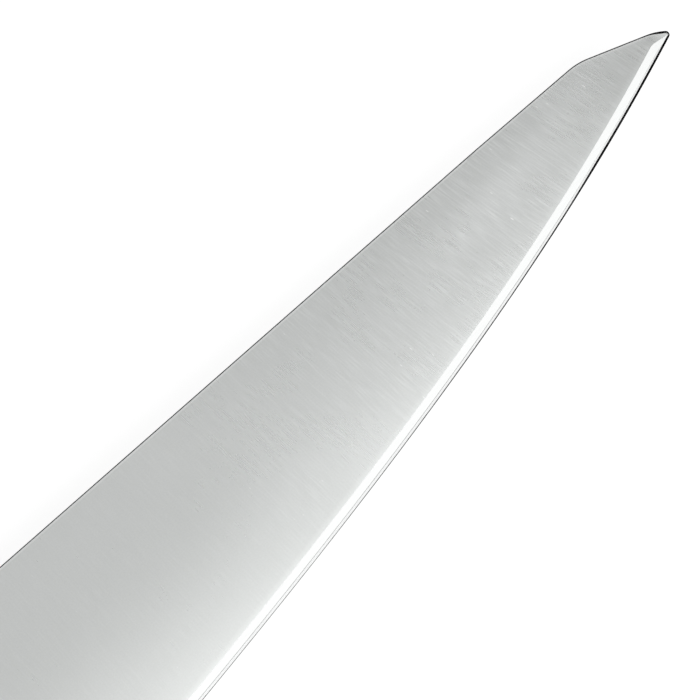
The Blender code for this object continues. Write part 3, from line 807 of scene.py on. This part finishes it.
def drill(piece, sizes):
    """Cuts the rivets' bores out of a piece for good."""
    cutters = [new_piece(f"{name}_bore", bore_cutter(sizes, rivet_place(name))) for name in RIVETS]
    for cutter in cutters:
        modifier = piece.modifiers.new(cutter.name, "BOOLEAN")
        modifier.operation, modifier.solver, modifier.object = "DIFFERENCE", "EXACT", cutter
    bpy.context.view_layer.update()
    graph = bpy.context.evaluated_depsgraph_get()
    cut = bpy.data.meshes.new_from_object(piece.evaluated_get(graph))
    piece.modifiers.clear()
    piece.data = cut
    cut.name = piece.name
    for cutter in cutters:
        bpy.data.objects.remove(cutter)


def rivet_profiles(sizes):
    """Profiles of the two halves of a rivet: head with tube, and head with pin."""
    top, head, thick, crown = KNIFE_TOP_Z, sizes.head_radius, sizes.head_thickness, sizes.head_crown
    tube, pin, rim = sizes.tube_radius, sizes.pin_radius, head - HEAD_CHAMFER
    steps = [i / DOME_STEPS for i in range(DOME_STEPS + 1)]
    dome = [(rim * step, crown * (1 - step**2)) for step in steps]
    bore = pin + sizes.seam
    tube_end, bore_end = thick + TUBE_STOP, top - thick - BORE_STOP
    pin_end = bore_end - PIN_STOP
    female = [(r, top - crown + rise) for r, rise in dome]
    female += [(head, top - crown - HEAD_CHAMFER), (head, top - thick), (tube, top - thick)]
    female += [(tube, tube_end), (bore, tube_end), (bore, bore_end), (0.0, bore_end)]
    male = [(r, crown - rise) for r, rise in dome]
    male += [(head, crown + HEAD_CHAMFER), (head, thick), (pin, thick), (pin, pin_end), (0.0, pin_end)]
    return female, male


# Room for a node, and how far to the right a tree's own end nodes go, to leave room for those that are added
NODE_WIDTH, NODE_HEIGHT, END_SHIFT = 200, 260, 2600


def make_room(tree):
    for node in tree.nodes:
        node.location.x += END_SHIFT


def feed(tree, node, inputs):
    """Sets inputs by their name or number: each to a value, or to what another node puts out."""
    for key, value in inputs.items():
        socket = node.inputs[key]
        if isinstance(value, bpy.types.NodeSocket):
            tree.links.new(value, socket)
        else:
            socket.default_value = (*value, 1.0) if socket.type == "RGBA" else value


def add_node(tree, kind, inputs, **settings):
    """Adds a node, in the column after the nodes that feed it, and gives its outputs."""
    node = tree.nodes.new(kind)
    for name, value in settings.items():
        setattr(node, name, value)
    feed(tree, node, inputs)
    feeders = [value.node for value in inputs.values() if isinstance(value, bpy.types.NodeSocket)]
    column = max((feeder.location.x for feeder in feeders), default=0) + NODE_WIDTH
    row = sum(other.location.x == column for other in tree.nodes)
    node.location = (column, -NODE_HEIGHT * row)
    return node.outputs


def calculate(tree, operation, *values, **settings):
    inputs = dict(enumerate(values))
    return add_node(tree, "ShaderNodeMath", inputs, operation=operation, **settings)["Value"]


def ranged(tree, source, low, high, start=0.0, end=1.0, **settings):
    """What the source has from start to end, as low to high and no further."""
    inputs = {"Value": source, "From Min": start, "From Max": end, "To Min": low, "To Max": high}
    return add_node(tree, "ShaderNodeMapRange", inputs, **settings)["Result"]


def mixed(tree, factor, first, second, kind="RGBA", **settings):
    """The first colour or number, turned into the second as the factor goes from 0 to 1."""
    place, result = {"FLOAT": (2, 0), "RGBA": (6, 2)}[kind]
    inputs = {0: factor, place: first, place + 1: second}
    return add_node(tree, "ShaderNodeMix", inputs, data_type=kind, **settings)[result]


def noise(tree, vector, scale, detail, **others):
    inputs = {"Vector": vector, "Scale": scale, "Detail": detail, **others}
    return add_node(tree, "ShaderNodeTexNoise", inputs)["Fac"]


def attribute(tree, name):
    return add_node(tree, "ShaderNodeAttribute", {}, attribute_name=name)["Fac"]


def bump(tree, height, strength, distance):
    inputs = {"Strength": strength, "Distance": distance, "Height": height}
    return add_node(tree, "ShaderNodeBump", inputs)["Normal"]


def new_group(name, numbers, results):
    """A node group that takes a Vector and these numbers and puts out these results, and its inputs."""
    group = bpy.data.node_groups.new(name, "ShaderNodeTree")
    group.interface.new_socket("Vector", in_out="INPUT", socket_type="NodeSocketVector")
    for label, default in numbers.items():
        socket = group.interface.new_socket(label, in_out="INPUT", socket_type="NodeSocketFloat")
        socket.default_value = default
    for label in results:
        group.interface.new_socket(label, in_out="OUTPUT", socket_type="NodeSocketFloat")
    return group, add_node(group, "NodeGroupInput", {})


def use_group(tree, name, vector, **numbers):
    inputs = {"Vector": vector, **numbers}
    return add_node(tree, "ShaderNodeGroup", inputs, node_tree=bpy.data.node_groups[name])


# Ground lines: the fine and the coarse noise as (scale, detail), how much of the streaks is fine, and the
# part of the noise that the streaks are drawn from
FINE_NOISE, COARSE_NOISE = (1.0, 0.8), (0.45, 1.0)
FINE_SHARE = 0.65
STREAK_START, STREAK_END = 0.34, 0.66


def ground_lines_group():
    """Fine lines that run along V. Lines is their height, Streaks their slow change in tone."""
    group, given = new_group("Ground lines", {"Across": 3000.0, "Along": 40.0}, ["Lines", "Streaks"])
    scales = {"X": given["Across"], "Y": given["Along"], "Z": given["Along"]}
    spread = add_node(group, "ShaderNodeCombineXYZ", scales)["Vector"]
    factors = {0: given["Vector"], 1: spread}
    stretched = add_node(group, "ShaderNodeVectorMath", factors, operation="MULTIPLY")["Vector"]
    fine = noise(group, stretched, *FINE_NOISE)
    coarse = noise(group, stretched, *COARSE_NOISE)
    both = mixed(group, FINE_SHARE, coarse, fine, "FLOAT")
    streaks = ranged(group, both, 0.0, 1.0, STREAK_START, STREAK_END)
    add_node(group, "NodeGroupOutput", {"Lines": fine, "Streaks": streaks})


# Handling marks: the part of the noise that shows
MARK_START, MARK_END = 0.42, 0.72


def handling_marks_group():
    """Soft, faint smudges from hands and cloths."""
    group, given = new_group("Handling marks", {"Size": 60.0}, ["Marks"])
    soft = noise(group, given["Vector"], given["Size"], detail=3.0, Roughness=0.55, Distortion=0.6)
    marks = ranged(group, soft, 0.0, 1.0, MARK_START, MARK_END, interpolation_type="SMOOTHSTEP")
    add_node(group, "NodeGroupOutput", {"Marks": marks})


# Nicks: the squeeze that draws them long, how much wear adds to a cell's own number, the numbers that give a
# nick, the size of the largest, and how fast they fade outwards
NICK_SQUEEZE = (1.0, 0.25, 1.0)
WEAR_SHARE = 0.12
NICK_START, NICK_END = 0.96, 1.12
MOST_NICK = 1.3
NICK_FADE = 14.0


def nicks_group():
    """A few short scratches of unlike size along the ground lines, painted bright as glints. Wear adds some.
    """
    group, given = new_group("Nicks", {"Cells": 240.0, "Wear": 1.0}, ["Nicks"])
    inputs = {"Vector": given["Vector"], "Scale": NICK_SQUEEZE}
    inputs = {"Vector": add_node(group, "ShaderNodeMapping", inputs)["Vector"], "Scale": given["Cells"]}
    cells = add_node(group, "ShaderNodeTexVoronoi", inputs, voronoi_dimensions="2D")
    away = calculate(group, "MULTIPLY", cells["Distance"], NICK_FADE)
    number = add_node(group, "ShaderNodeSeparateColor", {"Color": cells["Color"]})["Red"]
    worn = calculate(group, "MULTIPLY_ADD", given["Wear"], WEAR_SHARE, number)
    size = ranged(group, worn, 0.0, MOST_NICK, NICK_START, NICK_END)
    nicks = calculate(group, "SUBTRACT", size, away, use_clamp=True)
    add_node(group, "NodeGroupOutput", {"Nicks": nicks})


def new_material(name, inputs):
    """The nodes and the shader of a new material."""
    material = bpy.data.materials.new(name)
    material.use_nodes = True
    tree = material.node_tree
    make_room(tree)
    shader = tree.nodes["Principled BSDF"]
    feed(tree, shader, inputs)
    return tree, shader


def ground_map(tree):
    """The blade's own map, whose V runs along the lines ground across it."""
    return add_node(tree, "ShaderNodeUVMap", {}, uv_map="ground")["UV"]


def quarter_turn(tree, vector):
    """The coordinates turned, so that ground lines run along the piece."""
    inputs = {"Vector": vector, "Rotation": (0.0, 0.0, math.pi / 2)}
    return add_node(tree, "ShaderNodeMapping", inputs)["Vector"]


def scaled(tone, by):
    return [min(1.0, value * by) for value in tone]


def streaked(tree, streaks, rough, variation):
    """The roughness, varied from streak to streak between two shares of it."""
    low, high = variation
    return ranged(tree, streaks, rough * low, rough * high)


def smudged(tree, rough, marks, most):
    """The roughness, and up to this much more where hands have marked the piece."""
    return calculate(tree, "ADD", rough, ranged(tree, marks, 0.0, most))


# Ground face: how much lighter or darker its faint mottle makes it, how fine that is, the shares of their
# strength that the lines have in patches, the tone without lines, how rare the light lines are and how far
# their tones go. Then the strength and height of the lines, and how the roughness varies and is smudged
MOTTLE, MOTTLE_SCALE = 0.3, 3500.0
PATCHES = (0.7, 1.3)
MIDDLE_TONE = 0.5
LINE_RARITY = 1.6
LINE_TONES = (0.1, 1.1)
FACE_BUMP = (0.02, 0.00002)
FACE_VARIATION = (0.92, 1.06)
FACE_SMUDGE = 0.10


def blade_steel(finishes):
    """Satin steel with lines ground across the blade, square to its edge, with painted sheen and shade, a
    painted highlight by its rims and painted glints on its nicks.
    """
    tree, shader = new_material("Ground blade steel", {"Metallic": 1.0})
    ground = ground_map(tree)
    strength = attribute(tree, "grain")
    lines = use_group(tree, "Ground lines", ground, Across=4300.0, Along=270.0)
    marks = use_group(tree, "Handling marks", ground, Size=55.0)["Marks"]
    patches = use_group(tree, "Handling marks", ground, Size=220.0)["Marks"]
    nicks = use_group(tree, "Nicks", ground, Cells=700.0, Wear=strength)["Nicks"]
    mottle = ranged(tree, noise(tree, ground, MOTTLE_SCALE, detail=1.0), -MOTTLE, MOTTLE)
    patchy = calculate(tree, "MULTIPLY", strength, ranged(tree, patches, *PATCHES))
    rare = calculate(tree, "POWER", lines["Streaks"], LINE_RARITY)
    line_tone = ranged(tree, rare, *LINE_TONES)
    seen = mixed(tree, patchy, MIDDLE_TONE, line_tone, "FLOAT", clamp_factor=False)
    # Painted sheen and shade on the face are added to the lines' lightness
    lightness = calculate(tree, "ADD", seen, attribute(tree, "polish"))
    uneven = calculate(tree, "ADD", lightness, mottle)
    tone = mixed(tree, uneven, finishes.steel, finishes.steel_light, clamp_factor=False)
    # A painted highlight along the spine's corner and above the shoulder
    tone = mixed(tree, attribute(tree, "rim"), tone, finishes.rim_highlight)
    # The nicks are real scratches painted bright as glints
    tone = mixed(tree, nicks, tone, finishes.nick_glint)
    rough = finishes.steel_roughness
    rough_lines = streaked(tree, seen, rough, FACE_VARIATION)
    height = calculate(tree, "MULTIPLY", lines["Lines"], strength)
    feed(tree, shader, {
        "Base Color": tone,
        "Roughness": smudged(tree, rough_lines, marks, rough * FACE_SMUDGE),
        "Normal": bump(tree, height, *FACE_BUMP),
    })


# Lines on the bevels and fittings: how the roughness varies, as shares of it, how light the lightest are, and
# their strength and height. Last, how much smudges add to a fitting, and the roughness of the narrow lines
STREAK_VARIATION = (0.85, 1.15)
BEVEL_LIGHT, FITTING_LIGHT = 1.05, 1.06
BEVEL_BUMP, FITTING_BUMP = (0.04, 0.00001), (0.05, 0.00001)
FITTING_SMUDGE = 0.35
LINE_ROUGHNESS = (0.21, 0.29)
BLACK, WHITE = (0.0, 0.0, 0.0), (1.0, 1.0, 1.0)


def bevel_steel(name, tone, rough):
    """Brighter steel of the bevels, whetted along the edge."""
    tree, shader = new_material(name, {"Metallic": 1.0})
    along = quarter_turn(tree, ground_map(tree))
    lines = use_group(tree, "Ground lines", along, Across=9000.0, Along=120.0)
    feed(tree, shader, {
        "Base Color": mixed(tree, lines["Streaks"], tone, scaled(tone, BEVEL_LIGHT)),
        "Roughness": streaked(tree, lines["Streaks"], rough, STREAK_VARIATION),
        "Normal": bump(tree, lines["Lines"], *BEVEL_BUMP),
    })


def shade_line_steel():
    """Steel of the narrow lines along the edge and the spine's corners, near-black painted shade, darker
    towards the tip.
    """
    tree, shader = new_material("Fine line steel", {"Metallic": 1.0})
    lines = use_group(tree, "Ground lines", ground_map(tree), Across=9000.0, Along=120.0)
    feed(tree, shader, {
        # The tone attribute sets how dark the painted shade of the lines is
        "Base Color": mixed(tree, attribute(tree, "tone"), BLACK, WHITE),
        "Roughness": ranged(tree, lines["Streaks"], *LINE_ROUGHNESS),
    })


def fitting_steel(name, tone, rough):
    """Polished steel of the bolster and rivets, with faint belt marks along the handle."""
    tree, shader = new_material(name, {"Metallic": 1.0})
    place = add_node(tree, "ShaderNodeTexCoord", {})["Object"]
    lines = use_group(tree, "Ground lines", quarter_turn(tree, place), Across=6500.0, Along=110.0)
    marks = use_group(tree, "Handling marks", place, Size=140.0)["Marks"]
    rough_lines = streaked(tree, lines["Streaks"], rough, STREAK_VARIATION)
    feed(tree, shader, {
        "Base Color": mixed(tree, lines["Streaks"], tone, scaled(tone, FITTING_LIGHT)),
        "Roughness": smudged(tree, rough_lines, marks, rough * FITTING_SMUDGE),
        "Normal": bump(tree, lines["Lines"], *FITTING_BUMP),
    })


# Wood: the part of the lines that opens as pores, the pores' share of the wood's colour, their strength and
# depth, the roughness of the grain, and what smudges add
PORE_START, PORE_END = 0.38, 0.30
PORE_TONE = 0.35
PORE_BUMP = (0.12, 0.00005)
WOOD_ROUGHNESS = (0.36, 0.44)
WOOD_SMUDGE = 0.07


def handle_wood(finishes):
    """Near-black laminate of thin veneers, with a fine grain and short open pores along the handle."""
    tree, shader = new_material("Black laminated wood", {"IOR": 1.5})
    place = add_node(tree, "ShaderNodeTexCoord", {})["Object"]
    along = quarter_turn(tree, place)
    grain = use_group(tree, "Ground lines", along, Across=1500.0, Along=34.0)["Streaks"]
    pores = use_group(tree, "Ground lines", along, Across=5200.0, Along=330.0)["Lines"]
    marks = use_group(tree, "Handling marks", place, Size=70.0)["Marks"]
    tone = mixed(tree, grain, finishes.wood, finishes.grain)
    open_pore = ranged(tree, pores, 0.0, 1.0, PORE_START, PORE_END)
    feed(tree, shader, {
        "Base Color": mixed(tree, open_pore, tone, scaled(finishes.wood, PORE_TONE)),
        "Roughness": smudged(tree, ranged(tree, grain, *WOOD_ROUGHNESS), marks, WOOD_SMUDGE),
        "Normal": bump(tree, pores, *PORE_BUMP),
    })


# Lean of the ground lines from square to the spine, by the distance back from the tip, where they fan out
LINE_LEANS = [(0.020, 0.27), (0.052, 0.19), (0.072, 0.125), (0.102, 0.07), (0.130, 0.02)]

# Lightness of the fine lines along the edge and the spine, by the distance back from the tip; their darkness
# is painted shade
EDGE_LINE_SHADES = [(0.0, 0.005), (0.022, 0.01), (0.034, 0.05), (0.050, 0.10), (0.080, 0.20), (0.100, 0.42)]
SPINE_LINE_SHADES = [(0.0, 0.005), (0.002, 0.02), (0.006, 0.08), (0.014, 0.13), (0.030, 0.17)]

# How strongly the ground lines show, by the distance back from the tip
GRAIN_STRENGTHS = [(0.015, 0.9), (0.040, 1.05), (0.060, 0.80), (0.085, 0.50), (0.110, 0.20)]

# Painted sheen and shade on the face, lighter or darker, in pairs: by the distance back from the tip, and how
# much of that shows, by the way down from the spine to the edge
PAINTED_SHEEN_AND_SHADE = [
    (
        [(0.011, -0.45), (0.018, 0.0), (0.088, 0.0), (0.112, -0.35)],
        [(0.05, 0.0), (0.35, 1.0), (0.60, 1.0), (1.0, 0.0)],
    ),
    (
        [(0.012, 0.0), (0.038, 0.75), (0.066, 0.12), (0.085, 0.0)],
        [(0.14, 0.0), (0.40, 1.0), (0.70, 0.0)],
    ),
    (
        [(0.006, 0.0), (0.014, 0.34), (0.020, 0.26), (0.036, 0.06), (0.075, 0.06), (0.105, 0.20)],
        [(0.22, 1.0), (0.48, 0.0)],
    ),
    ([(0.070, 0.0), (0.095, -0.28)], [(0.68, 0.0), (0.84, 1.0)]),
]

# The painted highlight by the rims: how bright it is along the shoulder, and how far from the tip it is in
# full
SHOULDER_HIGHLIGHT_SHARE = 0.3
RIM_HIGHLIGHT_START_LENGTH = 0.006


def material_of(name):
    """A finish that the finishes' operator has made."""
    if name not in bpy.data.materials:
        raise RuntimeError(f"{name} isn't mixed yet: mix the finishes first")
    return bpy.data.materials[name]


def mark_ground_map(piece):
    """A UV map in metres whose V runs down the blade, along the lines ground across it."""
    mesh = piece.data
    layer = mesh.uv_layers.new(name="ground")
    for loop in mesh.loops:
        x, y, _ = mesh.vertices[loop.vertex_index].co
        depth = SPINE_Y - y
        layer.data[loop.index].uv = (x - depth * eased_through(TIP_X - x, LINE_LEANS), depth)


def rim_highlight_at(blade, x, y):
    """The painted highlight: 1 along the spine's broken corner, less along the shoulder, and 0 on the rest of
    the face.
    """
    by_spine = (blade.below_outline(x, y) - blade.corner_width(x, blade.top(x))) / blade.sizes.spine_rim
    by_shoulder = (y - blade.lines(x)[0][0]) / blade.sizes.shoulder_rim
    most = max(0.0, 1 - max(0.0, by_spine), SHOULDER_HIGHLIGHT_SHARE * (1 - max(0.0, by_shoulder)))
    return most * ease((TIP_X - x) / RIM_HIGHLIGHT_START_LENGTH)


def mark_grain_and_painted_light(piece, blade):
    """Attributes: "tone", the painted shade of the fine lines along the blade, the face's "grain", its
    painted sheen and shade, and "rim", the painted highlight by its rims.
    """
    names = ("tone", "grain", "polish", "rim")
    for name in names:
        piece.data.attributes.new(name, "FLOAT", "POINT")
    marks = [piece.data.attributes[name].data for name in names]
    for vert, tone, grain, polish, rim in zip(piece.data.vertices, *marks):
        x, y = min(vert.co.x, TIP_X), vert.co.y
        back = TIP_X - x
        top, edge_y = blade.top(x), blade.edge(x)[0]
        down = clamped((top - y) / max(top - edge_y, LEAST_SPAN))
        tone.value = eased_through(back, EDGE_LINE_SHADES if down > 0.5 else SPINE_LINE_SHADES)
        grain.value = eased_through(back, GRAIN_STRENGTHS)
        shown = [eased_through(back, along) * eased_through(down, band) for along, band in PAINTED_SHEEN_AND_SHADE]
        polish.value = sum(shown)
        rim.value = rim_highlight_at(blade, x, y)


class KNIFE_OT_mix_finishes(bpy.types.Operator):
    """Mixes the steels and the wood of the knife"""

    bl_idname = "knife.mix_finishes"
    bl_label = "Mix finishes"
    bl_options = {"REGISTER", "UNDO"}

    def execute(self, context):
        finishes = context.scene.knife_finishes
        for group in (ground_lines_group, handling_marks_group, nicks_group):
            group()
        blade_steel(finishes)
        bevel_steel("Whetted bevel steel", finishes.bevel_steel, finishes.bevel_roughness)
        bevel_steel("Second bevel steel", finishes.second_steel, finishes.second_roughness)
        # The crease's dark colour is painted shade between the bevels
        bevel_steel("Crease steel", finishes.crease_shade, finishes.second_roughness)
        shade_line_steel()
        fitting_steel("Polished bolster steel", finishes.bolster, finishes.bolster_roughness)
        fitting_steel("Rivet steel", finishes.rivet, finishes.rivet_roughness)
        handle_wood(finishes)
        return {"FINISHED"}


class KNIFE_OT_grind_blade(bpy.types.Operator):
    """Grinds the blade with its tang"""

    bl_idname = "knife.grind_blade"
    bl_label = "Grind blade"
    bl_options = {"REGISTER", "UNDO"}

    def execute(self, context):
        sizes = context.scene.knife_handle
        blade = GroundBlade(context.scene.knife_blade)
        finishes = [material_of(name) for name in ("Ground blade steel", *BEVEL_FINISHES)]
        piece = new_piece("ground_blade", grind_blade_mesh(blade, Grip(sizes)), *finishes)
        drill(piece, sizes)
        mark_ground_map(piece)
        mark_grain_and_painted_light(piece, blade)
        place_piece(piece, "blade_with_tang")
        return {"FINISHED"}


class KNIFE_OT_fit_bolsters(bpy.types.Operator):
    """Fits the two halves of the bolster"""

    bl_idname = "knife.fit_bolsters"
    bl_label = "Fit bolsters"
    bl_options = {"REGISTER", "UNDO"}

    def execute(self, context):
        grip = Grip(context.scene.knife_handle)
        tang_half = context.scene.knife_blade.spine_thickness / 2
        end = BOLSTER_FRONT_X - BOLSTER_BACK_X
        for hand, side in (("right", 1), ("left", -1)):
            bm = grip_half(grip, 0.0, end, side, tang_half)
            piece = new_piece(f"{hand}_bolster_half", bm, material_of("Polished bolster steel"))
            place_piece(piece, f"bolster_{hand}")
        return {"FINISHED"}


class KNIFE_OT_fit_scales(bpy.types.Operator):
    """Fits the two wooden scales and drills them for the rivets"""

    bl_idname = "knife.fit_scales"
    bl_label = "Fit scales"
    bl_options = {"REGISTER", "UNDO"}

    def execute(self, context):
        sizes = context.scene.knife_handle
        grip = Grip(sizes)
        tang_half = context.scene.knife_blade.spine_thickness / 2
        start = BOLSTER_FRONT_X - BOLSTER_BACK_X + sizes.seam
        for hand, side in (("right", 1), ("left", -1)):
            bm = grip_half(grip, start, HANDLE_LENGTH, side, tang_half)
            piece = new_piece(f"{hand}_scale", bm, material_of("Black laminated wood"))
            drill(piece, sizes)
            even = piece.modifiers.new("Even shading by the bores", "WEIGHTED_NORMAL")
            even.keep_sharp = True
            place_piece(piece, f"handle_scale_{hand}")
        return {"FINISHED"}


class KNIFE_OT_set_rivets(bpy.types.Operator):
    """Sets the three rivets, each of a tube half and a pin half"""

    bl_idname = "knife.set_rivets"
    bl_label = "Set rivets"
    bl_options = {"REGISTER", "UNDO"}

    def execute(self, context):
        sizes = context.scene.knife_handle
        for name in RIVETS:
            for half, profile in zip(("female", "male"), rivet_profiles(sizes)):
                bm = turned(profile, rivet_place(name), sizes.turned_steps)
                piece = new_piece(f"{name}_rivet_{half}_half", bm, material_of("Rivet steel"))
                place_piece(piece, f"{name}_rivet_{half}")
        return {"FINISHED"}


# Floor: half its side, and how matt it is
FLOOR_REACH = 12.0
FLOOR_FINISH = {"Roughness": 0.9, "Specular IOR Level": 0.1, "Emission Color": WHITE}

# World: its tilt, and its bands as (place from 0 at the horizon to 1 overhead, setting, share of it)
WORLD_TILT = (math.radians(-6), math.radians(8), 0.0)
WORLD_BANDS = [
    (0.0, "horizon", 1.0),
    (0.26, "horizon", 1.0),
    (0.42, "walls", 1.0),
    (0.80, "walls", 1.0),
    (0.93, "overhead", 0.62),
    (0.985, "overhead", 1.0),
]

# Key lamp: what it shines on, which way it stands from there and how far, and its width and height
KEY_TARGET = Vector((0.05, 0.0, 0.01))
KEY_WAY = Vector((0.0, -0.515, 0.857)).normalized()
KEY_DISTANCE = 1.2
KEY_SIZE = (1.70, 0.97)

# Camera: the middle of its view, the turn that lets the spine rise to the right, the height of the blade's
# face over the middle plane, the sensor, and how near and far it sees
VIEW_MIDDLE = (0.0650, 0.0097)
VIEW_TURN = math.radians(-41.264)
FACE_HEIGHT = 0.0011
SENSOR_WIDTH = 36.0
CLIP_START, CLIP_END = 0.01, 50.0


def studio_floor(settings):
    """A pale floor. The camera and the steel see light of its own on it, which lights nothing else."""
    tree, shader = new_material("Studio floor", {"Base Color": settings.floor, **FLOOR_FINISH})
    path = add_node(tree, "ShaderNodeLightPath", {})
    mirrored = calculate(tree, "MAXIMUM", path["Is Glossy Ray"], path["Is Transmission Ray"])
    glow = calculate(tree, "MULTIPLY", path["Is Camera Ray"], settings.floor_glow)
    shine = calculate(tree, "MULTIPLY", mirrored, settings.floor_shine)
    feed(tree, shader, {"Emission Strength": calculate(tree, "MAXIMUM", glow, shine)})
    bm = bmesh.new()
    bmesh.ops.create_grid(bm, x_segments=1, y_segments=1, size=FLOOR_REACH)
    floor = new_piece("studio_floor", bm, material_of("Studio floor"))


def studio_world(settings):
    """A pale horizon, plainer walls above it and a broad soft light overhead."""
    world = bpy.data.worlds.new("Studio")
    bpy.context.scene.world = world
    world.use_nodes = True
    tree = world.node_tree
    make_room(tree)
    way = add_node(tree, "ShaderNodeTexCoord", {})["Generated"]
    tilted = add_node(tree, "ShaderNodeMapping", {"Vector": way, "Rotation": WORLD_TILT})["Vector"]
    height = add_node(tree, "ShaderNodeSeparateXYZ", {"Vector": tilted})["Z"]
    ramp = add_node(tree, "ShaderNodeValToRGB", {"Fac": height})["Color"]
    elements = ramp.node.color_ramp.elements
    while len(elements) < len(WORLD_BANDS):
        elements.new(0.5)
    for element, (place, name, part) in zip(elements, WORLD_BANDS):
        value = getattr(settings, name) * part
        element.position = place
        element.color = (value, value, value, 1.0)
    feed(tree, tree.nodes["Background"], {"Color": ramp})


def key_lamp(settings):
    """A square soft lamp on the edge's side, turned about its own middle."""
    lamp = bpy.data.lights.new("Key lamp", "AREA")
    lamp.shape = "RECTANGLE"
    lamp.size, lamp.size_y = KEY_SIZE
    lamp.energy = settings.key
    obj = bpy.data.objects.new("Key lamp", lamp)
    bpy.context.scene.collection.objects.link(obj)
    obj.location = KEY_TARGET + KEY_WAY * KEY_DISTANCE
    facing = KEY_WAY.to_track_quat("Z", "Y").to_matrix()
    obj.rotation_euler = (facing @ Matrix.Rotation(settings.key_turn, 3, "Z")).to_euler()
    obj.visible_camera = False


def photo_camera(settings):
    """Straight down on the front of the blade, whose spine rises to the right."""
    camera = bpy.data.cameras.new("Camera")
    camera.lens = settings.lens
    camera.sensor_width = SENSOR_WIDTH
    camera.clip_start, camera.clip_end = CLIP_START, CLIP_END
    obj = bpy.data.objects.new("Camera", camera)
    bpy.context.scene.collection.objects.link(obj)
    distance = settings.frame_width * settings.lens / camera.sensor_width
    obj.location = (*VIEW_MIDDLE, MIDDLE_Z + FACE_HEIGHT + distance)
    obj.rotation_euler = Euler((0.0, 0.0, VIEW_TURN))
    bpy.context.scene.camera = obj


class KNIFE_OT_set_studio(bpy.types.Operator):
    """Sets the floor, the lamp, the world and the camera"""

    bl_idname = "knife.set_studio"
    bl_label = "Set studio"
    bl_options = {"REGISTER", "UNDO"}

    def execute(self, context):
        settings = context.scene.knife_studio
        for step in (studio_floor, studio_world, key_lamp, photo_camera):
            step(settings)
        context.scene.view_settings.view_transform = "Standard"
        return {"FINISHED"}


class KNIFE_PT_panel(bpy.types.Panel):
    """Sizes, finishes and steps of the knife."""

    bl_idname = "KNIFE_PT_panel"
    bl_label = "Honesuki Knife"
    bl_space_type = "VIEW_3D"
    bl_region_type = "UI"
    bl_category = "Knife"

    def draw(self, context):
        for operator in OPERATORS:
            self.layout.operator(operator.bl_idname)
        for name in SETTINGS:
            settings = getattr(context.scene, name)
            box = self.layout.box()
            for prop in settings.bl_rna.properties:
                if prop.identifier not in ("rna_type", "name"):
                    box.prop(settings, prop.identifier)


SETTINGS = {
    "knife_blade": BladeSizes,
    "knife_handle": HandleSizes,
    "knife_finishes": KnifeFinishes,
    "knife_studio": StudioSettings,
}
OPERATORS = (
    KNIFE_OT_mix_finishes,
    KNIFE_OT_grind_blade,
    KNIFE_OT_fit_bolsters,
    KNIFE_OT_fit_scales,
    KNIFE_OT_set_rivets,
    KNIFE_OT_set_studio,
)
CLASSES = (*SETTINGS.values(), *OPERATORS, KNIFE_PT_panel)


def register():
    for cls in CLASSES:
        bpy.utils.register_class(cls)
    for name, cls in SETTINGS.items():
        setattr(bpy.types.Scene, name, PointerProperty(type=cls))


def unregister():
    for name in SETTINGS:
        delattr(bpy.types.Scene, name)
    for cls in reversed(CLASSES):
        bpy.utils.unregister_class(cls)


def main():
    register()
    bpy.ops.knife.mix_finishes()
    bpy.ops.knife.grind_blade()
    bpy.ops.knife.fit_bolsters()
    bpy.ops.knife.fit_scales()
    bpy.ops.knife.set_rivets()
    bpy.ops.knife.set_studio()


if __name__ == "__main__":
    main()
